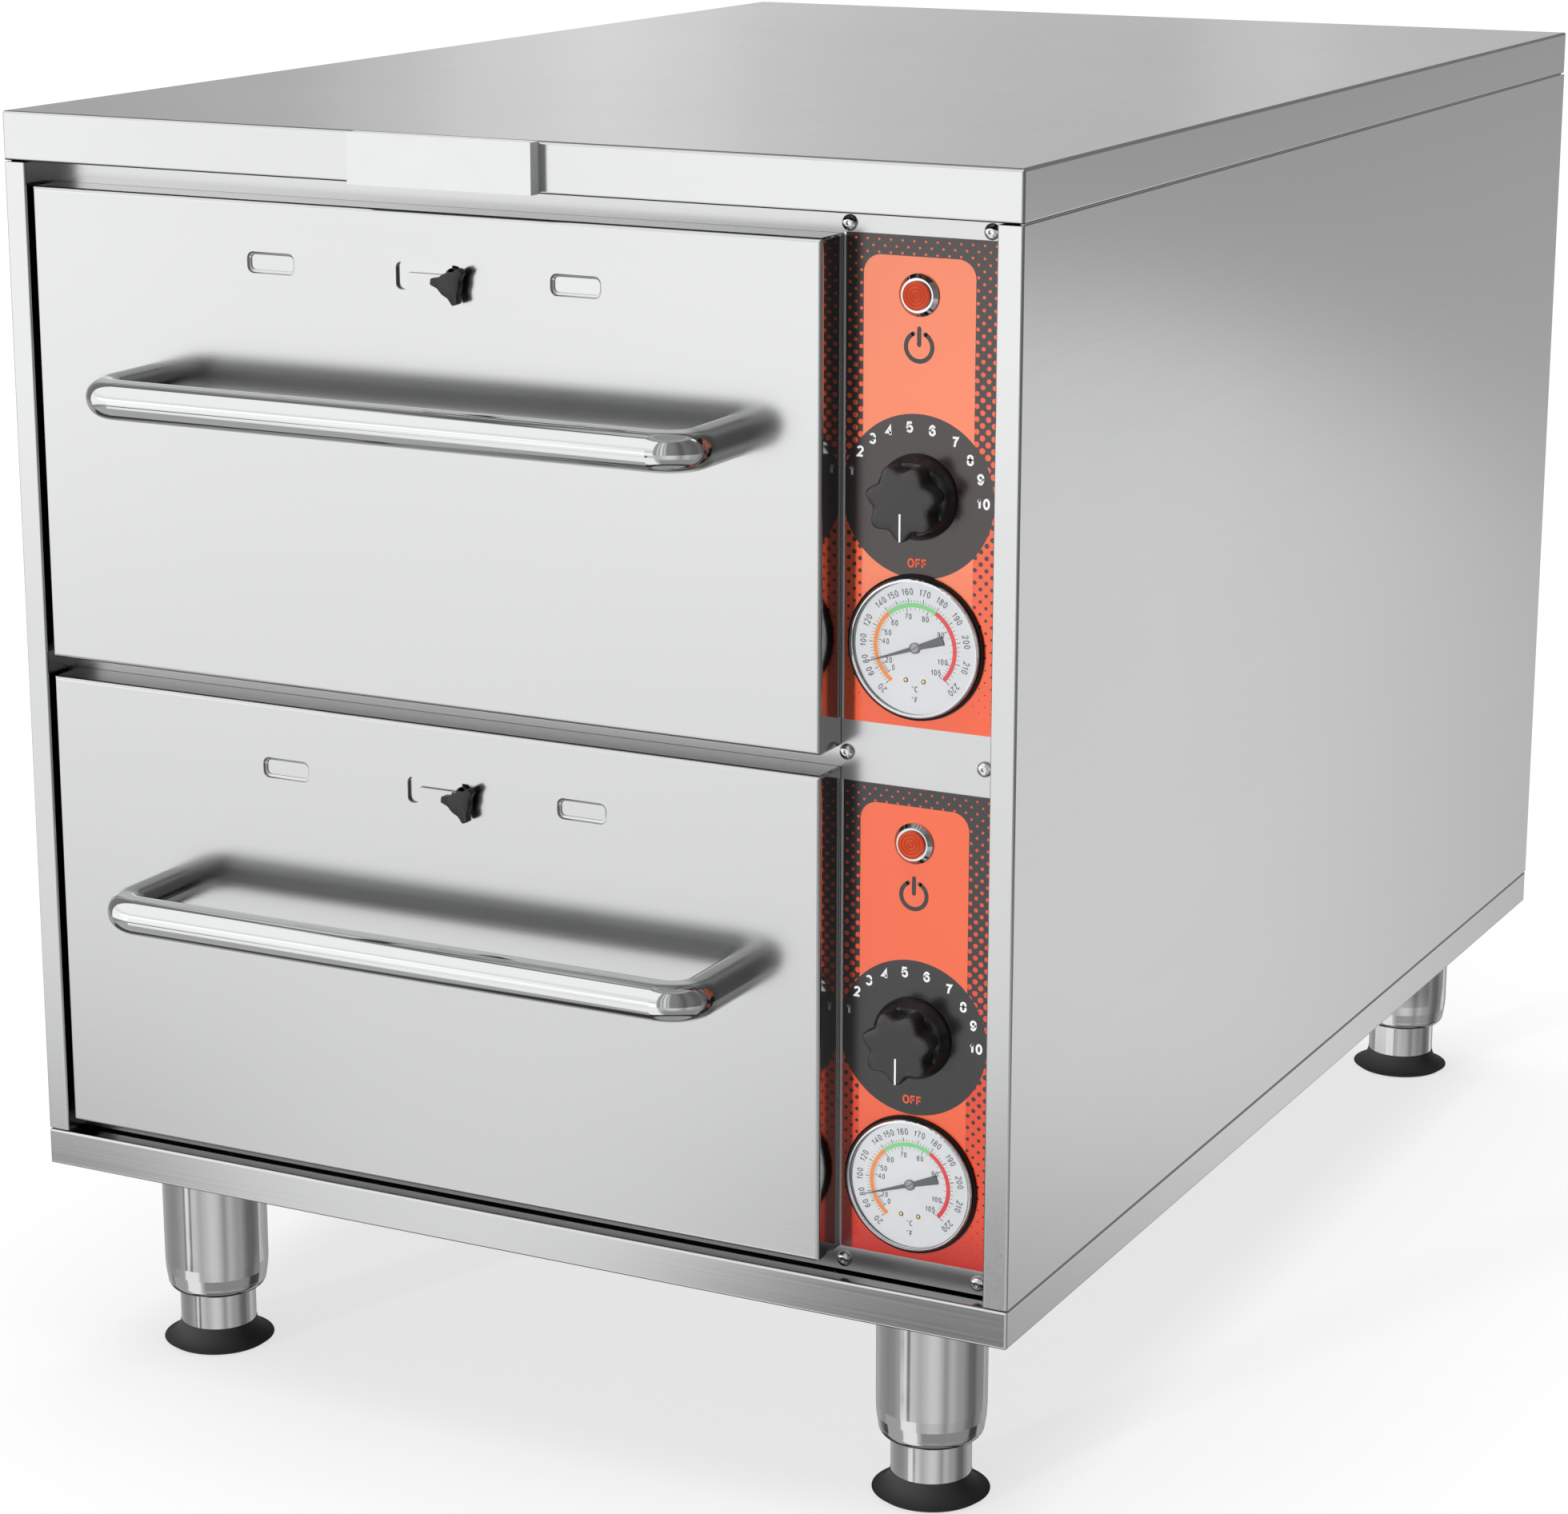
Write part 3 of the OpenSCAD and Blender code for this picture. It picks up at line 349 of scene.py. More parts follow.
def label_mat(name, ztop, zrect, zk, zend, light, mid, grey, red=None):
    """Printed control label: dark grey with orange halftone dots above the dial, orange with dark dots below, a lighter panel and the dial disc."""
    m, t, b, co = new_mat(name, mid, 0.0, 0.20)
    b.inputs["Specular IOR Level"].default_value = 0.70
    x, y, z = t.sep(co)
    c0 = V(450.2, 20, 0)
    px = t.m("MULTIPLY", t.m("SUBTRACT", x, c0.x), 1000.0)            # mm from the control axis
    pz = t.m("MULTIPLY", t.m("SUBTRACT", z, c0.z), 1000.0)            # mm from the cabinet's top
    # staggered dots: a square grid of 5.3 mm with a second one in its middles
    p = t.comb(t.m("ADD", px, 2.65), 0.0, t.m("SUBTRACT", pz, ztop))

    def cell(off):
        q = t.vm("FRACTION", t.vm("ADD", t.vm("SCALE", p, scale=1 / 5.3), (off + 100.5, 0.0, off + 100.5)))
        q = t.vm("SUBTRACT", q, (0.5, 0.0, 0.5))
        return t.m("MULTIPLY", t.vm("LENGTH", t.vm("MULTIPLY", q, (1.0, 0.0, 1.0))), 5.3)

    d = t.m("MINIMUM", cell(0.0), cell(0.5))
    hole = t.m("MINIMUM", cell(0.25), cell(0.75))
    soft = 0.10
    # above the dial: orange dots that grow downwards
    r_up = t.step(pz, ztop, zk + 10, False, 0.50, 1.40)
    dots = t.step(t.m("SUBTRACT", d, r_up), soft, -soft)
    # below the dial: dark dots that shrink downwards
    r_dn = t.step(pz, zk - 8, zend, False, 1.22, 0.12)
    holes = t.step(t.m("SUBTRACT", d, r_dn), soft, -soft)
    below = t.step(pz, zk + 0.5, zk - 0.5)
    up_col = t.mixc(dots, grey, mid)
    dn_col = t.mixc(holes, mid, grey)
    side = t.mixc(below, up_col, dn_col)
    # the lighter panel: a rounded rectangle, open at the bottom
    w, rr = 25.5, 8.0
    qx = t.m("SUBTRACT", t.m("ABSOLUTE", px), w - rr)
    qz = t.m("SUBTRACT", pz, zrect - rr)
    l = t.vm("LENGTH", t.comb(t.m("MAXIMUM", qx, 0.0), t.m("MAXIMUM", qz, 0.0), 0.0))
    rect = t.step(t.m("SUBTRACT", l, rr), soft, -soft)
    # below the dial the panel fades into the orange field
    fade = t.step(pz, zk - 20, zk - 80)
    panel = t.mixc(fade, light, mid)
    col = t.mixc(rect, side, panel)
    disc = t.vm("LENGTH", t.comb(px, t.m("SUBTRACT", pz, zk), 0.0))
    col = t.mixc(t.step(t.m("SUBTRACT", disc, 35.0), soft, -soft), col, grey)
    if red:
        # the colour darkens and turns redder towards its lower end
        col = t.mixc(t.step(pz, red[0], red[1]), col, t.mixc(1.0, col, red[2], "MULTIPLY"))
    # a pale strip along the left edge: painted highlight for the bright bare steel beside the label
    col = t.mixc(t.step(px, -33.55, -33.75), col, (0.85, 0.86, 0.86))
    t.l.new(col, b.inputs["Base Color"])
    g = t.noise(co, 700.0, 2.0)
    t.l.new(t.bump(g, 0.02, 0.0001), b.inputs["Normal"])
    t.l.new(t.m("ADD", t.m("MULTIPLY", g, 0.06), 0.17), b.inputs["Roughness"])
    return m


LIGHT_U, MID_U, GREY_U = (0.93, 0.238, 0.115), (0.86, 0.110, 0.036), (0.026, 0.015, 0.015)
# the lower label's colours are a darker copy of the upper label's: painted shade for light falling off downwards
LIGHT_L, MID_L, GREY_L = (0.88, 0.135, 0.050), (0.74, 0.060, 0.018), (0.010, 0.008, 0.008)
MAT["upper_label"] = label_mat("upper_label", -32.4 - 2.2, -40.9, -141.2, -240.0, LIGHT_U, MID_U, GREY_U)
MAT["lower_label"] = label_mat("lower_label", -267.2 - 2.2, -275.3, -378.6, -480.0, LIGHT_L, MID_L, GREY_L, (-452.0, -481.0, (0.66, 0.22, 0.25)))

use = {
    "top_cover": "steel_top", "left_side_panel": "steel_side", "right_side_panel": "steel_side", "rear_panel": "steel_front",
    "base_pan": "steel_base", "front_panel": "steel_panel", "cavity_liners": "steel_inner", "control_partition": "steel_inner",
    "insulation": "wool", "outer_rails": "steel_inner", "heating_elements": "element", "sensor_bulbs": "copper",
    "thermostats": "thermostat", "upper_control_label": "upper_label", "lower_control_label": "lower_label",
    "pilot_bezels": "chrome", "pilot_lenses": "lens", "gauge_cases": "dial", "gauge_bezels": "gauge_bezel", "gauge_lenses": "glass",
    "panel_screws": "chrome", "nameplate": "nameplate", "rear_access_cover": "steel_front", "rear_cover_screws": "chrome",
    "cord_gland": "gland", "terminal_block": "terminal", "leg_plates": "steel_inner", "leg_tubes": "steel_leg",
}
for f in ("front_left", "front_right", "rear_left", "rear_right"):
    use["foot_" + f] = "steel_foot"
    use["pad_" + f] = "rubber"
for u in ("upper", "lower"):
    use.update({u + "_drawer_front": "steel_drawer", u + "_drawer_liner": "steel_inner", u + "_carriage": "steel_inner",
                u + "_pan": "pan_steel", u + "_handle": "handle_chrome", u + "_handle_screws": "steel_inner",
                u + "_mid_rails": "steel_inner", u + "_vent_plate": "steel_front", u + "_vent_knob": "black_vent",
                u + "_temp_knob": "black_knob", u + "_knob_shaft": "steel_inner", u + "_gauge_needle": "needle"})
for n, o in N.items():
    for s in o.material_slots:
        s.material = MAT[use[n]]


# ------------------------------------------------------------------ mesh helpers
def obj(name, bm, mat, body, smooth=False, angle=None):
    me = bpy.data.meshes.new(name)
    bm.normal_update()
    bm.to_mesh(me)
    bm.free()
    o = bpy.data.objects.new(name, me)
    bpy.context.scene.collection.objects.link(o)
    for mm in (mat if isinstance(mat, (list, tuple)) else [mat]):
        me.materials.append(MAT[mm])
    if smooth:
        for p in me.polygons:
            p.use_smooth = True
        if angle is not None:
            me.set_sharp_from_angle(angle=radians(angle))
    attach(o, body)
    return o


def arc(cx, cy, rx, ry, a0, a1, n=14):
    return [(cx + rx * cos(radians(a0 + (a1 - a0) * i / n)), cy + ry * sin(radians(a0 + (a1 - a0) * i / n))) for i in range(n + 1)]


# centre lines of the characters, half a unit high and low
GLYPH = {
    "0": (0.30, [arc(0, 0, 0.27, 0.5, 90, 450, 30)]),
    "1": (0.17, [[(-0.17, 0.24), (-0.06, 0.27), (0.02, 0.34), (0.07, 0.5)], [(0.07, 0.5), (0.07, -0.5)]]),
    "2": (0.29, [arc(0, 0.22, 0.27, 0.28, 165, -22) + [(-0.27, -0.5), (0.29, -0.5)]]),
    "3": (0.29, [arc(-0.01, 0.25, 0.25, 0.25, 155, -85), arc(-0.01, -0.22, 0.28, 0.28, 88, -160)]),
    "4": (0.31, [[(0.13, -0.5), (0.13, 0.5), (-0.31, -0.22), (0.31, -0.22)]]),
    "5": (0.29, [[(0.25, 0.5), (-0.19, 0.5), (-0.25, 0.02)] + arc(0.0, -0.18, 0.28, 0.32, 132, -155)]),
    "6": (0.29, [arc(0, -0.20, 0.27, 0.30, 90, 450, 26), arc(0.02, -0.02, 0.29, 0.52, 190, 35)]),
    "7": (0.28, [[(-0.28, 0.5), (0.28, 0.5), (0.02, 0.02), (-0.08, -0.5)]]),
    "8": (0.29, [arc(0, 0.26, 0.235, 0.24, 90, 450, 24), arc(0, -0.23, 0.275, 0.27, 90, 450, 26)]),
    "9": (0.29, [arc(0, 0.20, 0.27, 0.30, 90, 450, 26), arc(-0.02, 0.02, 0.29, 0.52, 10, -145)]),
    "O": (0.40, [arc(0, 0, 0.38, 0.5, 90, 450, 32)]),
    "F": (0.27, [[(-0.25, -0.5), (-0.25, 0.5), (0.29, 0.5)], [(-0.25, 0.02), (0.22, 0.02)]]),
    "C": (0.36, [arc(0, 0, 0.36, 0.5, 48, 312, 26)]),
}


def stroke(bm, pts, w, place, mat):
    """A flat ribbon w wide along pts, mitred at its corners."""
    closed = hypot(pts[0][0] - pts[-1][0], pts[0][1] - pts[-1][1]) < 1e-6
    if closed:
        pts = pts[:-1]
    n = len(pts)
    L, R = [], []
    for i in range(n):
        p = pts[i]
        a_ = pts[i - 1] if (closed or i > 0) else None
        b_ = pts[(i + 1) % n] if (closed or i < n - 1) else None
        d0 = Vector((p[0] - a_[0], p[1] - a_[1])).normalized() if a_ else None
        d1 = Vector((b_[0] - p[0], b_[1] - p[1])).normalized() if b_ else None
        d0, d1 = d0 or d1, d1 or d0
        t_ = (d0 + d1)
        t_ = t_.normalized() if t_.length > 1e-6 else d0
        nx, ny = -t_.y, t_.x
        k = w / 2 / max(0.45, nx * -d0.y + ny * d0.x)
        L.append(bm.verts.new(place(p[0] + nx * k, p[1] + ny * k)))
        R.append(bm.verts.new(place(p[0] - nx * k, p[1] - ny * k)))
    for i in range(n if closed else n - 1):
        j = (i + 1) % n
        f_ = bm.faces.new([R[i], R[j], L[j], L[i]])
        f_.material_index = mat


def text_into(bm, s, height, place, w=0.9, mat=0, squeeze=1.0, gap=0.0):
    """Adds the characters of s to bm as flat ribbons, centred. height is the full height in mm, w the stroke's width."""
    h = height - w
    half = [GLYPH[c][0] * h * squeeze + w / 2 for c in s]
    gap = gap or w * 0.42
    tot = 2 * sum(half) + gap * (len(s) - 1)
    x = -tot / 2
    for c, hw in zip(s, half):
        x += hw
        for line in GLYPH[c][1]:
            stroke(bm, [(x + a * h * squeeze, b * h) for a, b in line], w, place, mat)
        x += hw + gap


def flat(bm, pts, mat=0):
    f = bm.faces.new([bm.verts.new(p) for p in pts])
    f.material_index = mat
    return f


# ------------------------------------------------------------------ label printing: numerals, OFF, standby sign
NUM = {1: (419.5, -132.5), 2: (423.56, -123.99), 3: (429.2, -118.17), 4: (436.81, -114.18), 5: (446.25, -111.97),
       6: (456.62, -112.66), 7: (467.09, -116.72), 8: (474.01, -123.68), 9: (478.83, -131.37), 10: (480.19, -141.54)}


def printing(u, zk, zs):
    bm = bmesh.new()
    y = 19.54
    for k, (x, z) in NUM.items():
        text_into(bm, str(k), 4.8, lambda a, c, x=x, z=z: V(x + a, y, z + zk + 141.2 + c), w=1.0, squeeze=1.06, gap=0.5)
    text_into(bm, "OFF", 4.1, lambda a, c: V(450.2 + a, y, zk - 28.3 + c), w=0.78, mat=1, squeeze=0.98)
    # standby sign: a ring open at the top and a short bar
    R, w = 6.0, 0.95
    a0, a1 = radians(90 + 27), radians(360 + 90 - 27)
    n = 48
    cen = zs - 1.0
    for i in range(n):
        t0, t1 = a0 + (a1 - a0) * i / n, a0 + (a1 - a0) * (i + 1) / n
        flat(bm, [V(450.2 + (R + s * w) * cos(t), y, cen + (R + s * w) * sin(t)) for t, s in ((t0, 1), (t0, -1), (t1, -1), (t1, 1))], 2)
    for t in (a0, a1):
        c = (450.2 + R * cos(t), cen + R * sin(t))
        flat(bm, [V(c[0] + w * cos(q * pi / 8), y, c[1] + w * sin(q * pi / 8)) for q in range(16)], 2)
    for c0, c1 in ((cen + 7.6, cen + 0.9),):
        pts = [(450.2 + w * cos(q), c0 + w * sin(q)) for q in [i * pi / 8 for i in range(9)]]
        pts += [(450.2 - w * cos(q), c1 - w * sin(q)) for q in [i * pi / 8 for i in range(9)]]
        flat(bm, [V(a, y, c) for a, c in pts], 2)
    o = obj(u + "_label_printing", bm, ["white_ink", "orange_ink", "grey_ink"], "cabinet")
    return o


printing("upper", -141.2, -77.2)
printing("lower", -378.6, -313.5)


# ------------------------------------------------------------------ gauge dials
FD = {20: 38.5, 60: 59.6, 80: 72.9, 100: 92.6, 120: 113.8, 140: 138.5, 150: 154.6, 160: 171.1, 170: 190.5, 180: 210.6,
      190: 233.1, 200: 258.0, 210: 284.7, 220: 311.7}
CD = {0: 46.7, 20: 62.2, 40: 96.8, 50: 113.5, 60: 136.5, 70: 166.6, 80: 200.2, 90: 240.0, 100: 290.1, 105: 314.1}


def interp(tab, v):
    ks = sorted(tab)
    for a, b in zip(ks, ks[1:]):
        if v <= b:
            return tab[a] + (tab[b] - tab[a]) * (v - a) / (b - a)
    return tab[ks[-1]]


def dial(u, zg):
    bm = bmesh.new()
    y = 18.26
    C = (450.2, zg)

    K = 1.055  # the print fills the dial

    def pol(r, a):  # a = degrees clockwise from straight down
        q = radians(a)
        return (C[0] - K * r * sin(q), C[1] - K * r * cos(q))

    def strip(r0, r1, a0, a1, mat, n=40, yy=y):
        for i in range(n):
            p, q = a0 + (a1 - a0) * i / n, a0 + (a1 - a0) * (i + 1) / n
            flat(bm, [V(pol(r, a)[0], yy, pol(r, a)[1]) for r, a in ((r0, p), (r1, p), (r1, q), (r0, q))], mat)

    def tick(a, r0, r1, w, mat):
        d = degrees(w / 2 / ((r0 + r1) / 2))
        flat(bm, [V(*(lambda c: (c[0], y, c[1]))(pol(r, b))) for r, b in ((r0, a - d), (r1, a - d), (r1, a + d), (r0, a + d))], mat)

    # coloured band
    strip(16.55, 18.35, FD[20] - 3.0, FD[140], 2, 44)
    strip(16.55, 18.35, FD[140], FD[180], 3, 34)
    strip(16.55, 18.35, FD[180], FD[220] + 1.5, 4, 44)
    # outer ticks, Fahrenheit: a long one at each numeral, short ones between
    ks = sorted(FD)
    for k in ks:
        tick(FD[k], 18.5, 20.3, 0.34, 1)
    for a, b in zip(ks, ks[1:]):
        n = 5
        for i in range(1, n):
            tick(FD[a] + (FD[b] - FD[a]) * i / n, 18.5, 19.6, 0.20, 0)
    kc = sorted(CD)
    for k in kc:
        tick(CD[k], 14.7, 16.4, 0.32, 1)
    for a, b in zip(kc, kc[1:]):
        n = 5 if b - a < 20 else 10
        for i in range(1, n):
            tick(CD[a] + (CD[b] - CD[a]) * i / n, 15.4, 16.4, 0.18, 0)
    # numerals, turned to read round the dial
    for k, a in FD.items():
        c = pol(22.9, a)
        # text's up is outwards; it's turned less in the lower half so it stays readable
        turn = radians(180 - a)
        def place(s, v, c=c, turn=turn):
            return V(c[0] + s * cos(turn) - v * sin(turn), y, c[1] + s * sin(turn) + v * cos(turn))
        text_into(bm, str(k), 2.85 * K, place, w=0.42, mat=0, squeeze=0.82, gap=0.42)
    for k, a in CD.items():
        c = pol(13.0, a)
        text_into(bm, str(k), 2.45 * K, lambda s, v, c=c: V(c[0] + s, y, c[1] + v), w=0.38, mat=0, squeeze=0.80, gap=0.38)
    for s, dz in (("C", -17.8), ("F", -22.5)):
        text_into(bm, s, 2.6, lambda a, v, dz=dz: V(C[0] + 0.8 + a, y, zg + dz + v), w=0.42, mat=1, squeeze=0.85)
        flat_ring(bm, C[0] - 0.9, zg + dz + 0.9, 0.38, 0.18, y)
    o = obj(u + "_dial_printing", bm, ["dial_ink", "tick_ink", "arc_orange", "arc_green", "arc_red"], "cabinet")
    # two brass rivets on the dial
    bm = bmesh.new()
    for sx in (-4.1, 4.1):
        lathe(bm, (C[0] + sx, 18.28, zg - 14.2), [(0, -0.5), (0.55, -0.46), (1.0, -0.24), (1.15, 0.0)], 24)
    obj(u + "_dial_rivets", bm, "brass", "cabinet", smooth=True)
    return o


def flat_ring(bm, x, z, r, w, y, n=20, mat=0):
    for i in range(n):
        a, b = 2 * pi * i / n, 2 * pi * (i + 1) / n
        flat(bm, [V(x + q * cos(t), y, z + q * sin(t)) for t, q in ((a, r), (a, r - w), (b, r - w), (b, r))], mat)


def lathe(bm, c, prof, n=48, closed=False):
    """prof is (radius, offset along Y from c) in mm, turned round the Y axis through c."""
    rings = []
    for r, dy in prof:
        if r < 1e-6:
            rings.append([bm.verts.new(V(c[0], c[1] + dy, c[2]))])
        else:
            rings.append([bm.verts.new(V(c[0] + r * cos(2 * pi * i / n), c[1] + dy, c[2] + r * sin(2 * pi * i / n))) for i in range(n)])
    for a, b in zip(rings, rings[1:]):
        for i in range(n):
            j = (i + 1) % n
            p = [a[i % len(a)], a[j % len(a)], b[j % len(b)], b[i % len(b)]]
            q = []
            for v in p:
                if v not in q:
                    q.append(v)
            if len(q) > 2:
                bm.faces.new(q)
    return rings


dial("upper", -205.6)
dial("lower", -445.5)


# pivot cap on each needle: a slotted screw head
def pivot(u, zg):
    bm = bmesh.new()
    lathe(bm, (450.2, 17.5, zg), [(0, -0.33), (1.5, -0.31), (2.1, -0.22), (2.35, 0.0)], 32)
    obj(u + "_needle_cap", bm, "dial_cap", u + "_needle", smooth=True, angle=40)
    bm = bmesh.new()
    q = radians(35)
    c, s = cos(q), sin(q)
    flat(bm, [V(450.2 + a * c - b * s, 17.15, zg + a * s + b * c) for a, b in ((-2.0, -0.16), (2.0, -0.16), (2.0, 0.16), (-2.0, 0.16))])
    obj(u + "_needle_cap_slot", bm, "needle", u + "_needle")


MAT["dial_cap"] = steel("dial_cap", (0.40, 0.38, 0.38), 0.45, "xy")
pivot("upper", -205.6)
pivot("lower", -445.5)


# ------------------------------------------------------------------ temperature knobs
def knob(u, zk):
    """Seven-lobed grip with a domed face and rounded edge on a conical skirt."""
    bm = bmesh.new()
    n = 224
    c = (450.2, 20.0, zk)

    def grip(th, s=1.0, inset=0.0):
        # lobes: tip radius 16.4, valleys 13.1; one points straight down
        w = 0.5 + 0.5 * cos(7 * (th + pi / 2))
        return (13.1 + (16.4 - 13.1) * w - inset) * s

    rings = []
    # (depth in front of the panel, radius rule)
    prof = [(0.75, 18.15), (0.9, 18.32), (2.1, 18.2), (2.6, 18.0), (5.2, 16.7), (6.6, 15.9), (7.2, 15.4)]
    for h, r in prof:
        rings.append([bm.verts.new(V(c[0] + r * cos(2 * pi * i / n), 20 - h, zk + r * sin(2 * pi * i / n))) for i in range(n)])
    for h, ins in ((7.5, 0.55), (8.2, 0.25), (10.0, 0.1), (13.0, 0.0), (16.2, 0.0), (16.9, 0.12), (17.35, 0.42), (17.65, 0.95)):
        rings.append([bm.verts.new(V(c[0] + grip(2 * pi * i / n, 1, ins) * cos(2 * pi * i / n), 20 - h, zk + grip(2 * pi * i / n, 1, ins) * sin(2 * pi * i / n))) for i in range(n)])
    for s, h in ((0.9, 17.8), (0.75, 17.86), (0.5, 17.88), (0.25, 17.89)):
        rings.append([bm.verts.new(V(c[0] + (grip(2 * pi * i / n, s, 0.95 * s)) * cos(2 * pi * i / n), 20 - h, zk + (grip(2 * pi * i / n, s, 0.95 * s)) * sin(2 * pi * i / n))) for i in range(n)])
    cen = bm.verts.new(V(c[0], 20 - 17.9, zk))
    for a, b in zip(rings, rings[1:]):
        for i in range(n):
            j = (i + 1) % n
            bm.faces.new([a[i], a[j], b[j], b[i]])
    last = rings[-1]
    for i in range(n):
        bm.faces.new([last[i], last[(i + 1) % n], cen])
    # underside: an annulus round the hollow back
    inner = [bm.verts.new(V(c[0] + 9.0 * cos(2 * pi * i / n), 20 - 0.75, zk + 9.0 * sin(2 * pi * i / n))) for i in range(n)]
    deep = [bm.verts.new(V(c[0] + 9.0 * cos(2 * pi * i / n), 20 - 3.9, zk + 9.0 * sin(2 * pi * i / n))) for i in range(n)]
    first = rings[0]
    for i in range(n):
        j = (i + 1) % n
        bm.faces.new([first[j], first[i], inner[i], inner[j]])
        bm.faces.new([inner[j], inner[i], deep[i], deep[j]])
    bm.faces.new(deep)
    bmesh.ops.recalc_face_normals(bm, faces=bm.faces)
    o = obj(u + "_knob_body", bm, "black_knob", u + "_thermostat_knob", smooth=True, angle=38)
    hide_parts(u + "_temp_knob")
    bm = bmesh.new()
    pts = [(-0.42, -4.2), (0.42, -4.2), (0.42, -16.0), (-0.42, -16.0)]
    flat(bm, [V(450.2 + a, 2.08, zk + b) for a, b in pts])
    obj(u + "_knob_pointer", bm, "white_ink", u + "_thermostat_knob")
    return o


knob("upper", -141.2)
knob("lower", -378.6)


# ------------------------------------------------------------------ panel screws with a socket in the head
def screws():
    bm = bmesh.new()
    for x, z in ((418, -28.7), (482.4, -28.7), (418, -254.8), (482.4, -254.8), (418, -486.3), (482.4, -486.3)):
        lathe(bm, (x, 20.0, z), [(3.45, 0.0), (3.48, -0.35), (3.3, -0.95), (2.9, -1.45), (2.3, -1.85), (1.6, -2.08), (1.05, -2.16), (0.9, -2.1), (0.85, -1.2), (0, -1.2)], 40)
    bmesh.ops.recalc_face_normals(bm, faces=bm.faces)
    o = obj("panel_screw_heads", bm, "chrome", "cabinet", smooth=True, angle=50)
    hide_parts("panel_screws")


screws()


# ------------------------------------------------------------------ vent thumb knobs
def vent_knob(u, zv):
    bm = bmesh.new()
    cx, cz = 238.85, zv - 2.7
    lobes = [radians(a) for a in (172.9, 291.6, 47.4)]
    n = 288
    flank = [(9.0, 0.0), (9.0, 1.15), (8.6, 1.55), (7.3, 1.82), (5.6, 2.3), (4.8, 2.8), (3.9, 3.7)]

    def rad(th):
        r = 5.3
        for a in lobes:
            d = abs((th - a + pi) % (2 * pi) - pi)
            if d < 0.78:
                # where this ray leaves the lobe's outline
                s, cc = sin(d), cos(d)
                for p, q in zip(flank, flank[1:]):
                    ex, ey = q[0] - p[0], q[1] - p[1]
                    det = cc * ey - s * ex
                    if abs(det) > 1e-9:
                        u_ = (cc * -p[1] + s * p[0]) / det
                        if -1e-6 <= u_ <= 1 + 1e-6:
                            r = max(r, hypot(p[0] + u_ * ex, p[1] + u_ * ey))
        return r

    raw = [rad(2 * pi * i / n) for i in range(n)]
    sm = [sum(raw[(i + k) % n] * w for k, w in ((-2, .12), (-1, .22), (0, .32), (1, .22), (2, .12))) for i in range(n)]
    rings = []
    for y, ins in ((-2.4, 0.3), (-2.65, 0.0), (-6.2, 0.0), (-6.5, 0.1), (-6.6, 0.35)):
        rings.append([bm.verts.new(V(cx + (sm[i] - ins) * cos(2 * pi * i / n), y, cz + (sm[i] - ins) * sin(2 * pi * i / n))) for i in range(n)])
    for a, b in zip(rings, rings[1:]):
        for i in range(n):
            j = (i + 1) % n
            bm.faces.new([a[i], a[j], b[j], b[i]])
    bm.faces.new(rings[-1])
    bm.faces.new(list(reversed(rings[0])))
    # hub, stem and the nut behind the shutter
    for r, y0, y1, dz in ((3.1, -2.6, -0.8, 0.9), (1.5, -2.6, 6.2, 2.75), (4.4, 3.3, 5.3, 2.75)):
        a = [bm.verts.new(V(238.5 + r * cos(2 * pi * i / 32), y0, zv + dz + r * sin(2 * pi * i / 32))) for i in range(32)]
        b = [bm.verts.new(V(238.5 + r * cos(2 * pi * i / 32), y1, zv + dz + r * sin(2 * pi * i / 32))) for i in range(32)]
        for i in range(32):
            j = (i + 1) % 32
            bm.faces.new([a[i], a[j], b[j], b[i]])
        bm.faces.new(a)
        bm.faces.new(list(reversed(b)))
    bmesh.ops.recalc_face_normals(bm, faces=bm.faces)
    o = obj(u + "_vent_knob_body", bm, "black_vent", u + "_vent_thumb_knob", smooth=True, angle=35)
    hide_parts(u + "_vent_knob")


vent_knob("upper", -60.5)
vent_knob("lower", -291.6)


# ------------------------------------------------------------------ pressed lips of the oval vents
def lips(u, zv):
    bm = bmesh.new()
    w, h, rc, n = 24.9 / 2 - 0.02, 9.6 / 2 - 0.02, 3.18, 10
    # (inward offset, depth behind the drawer's face)
    prof = [(0.0, 1.15), (0.0, 0.22), (0.10, 0.34), (0.20, 0.62), (0.34, 0.86), (0.60, 1.06), (0.95, 1.24), (1.35, 1.38), (1.40, 1.50), (1.30, 1.52), (0.5, 1.25)]
    for x in (143.7, 298.4):
        rings = []
        for ins, y in prof:
            r = rc - ins * 0.8
            ring = []
            for sx, sz, a0 in ((1, 1, 0), (-1, 1, 90), (-1, -1, 180), (1, -1, 270)):
                for i in range(n + 1):
                    a = radians(a0 + 90 * i / n)
                    ring.append(bm.verts.new(V(x + sx * (w - ins - r) + r * cos(a), y, zv + sz * (h - ins - r) + r * sin(a))))
            rings.append(ring)
        m = len(rings[0])
        for a, b in zip(rings, rings[1:] + rings[:1]):
            for i in range(m):
                j = (i + 1) % m
                bm.faces.new([a[i], a[j], b[j], b[i]])
    bmesh.ops.recalc_face_normals(bm, faces=bm.faces)
    obj(u + "_vent_lips", bm, "steel_rim", u + "_drawer", smooth=True, angle=50)


MAT["steel_rim"] = steel("steel_rim", (0.53, 0.534, 0.532), 0.10, "xy", bump=0.0)
lips("upper", -60.5)
lips("lower", -291.6)

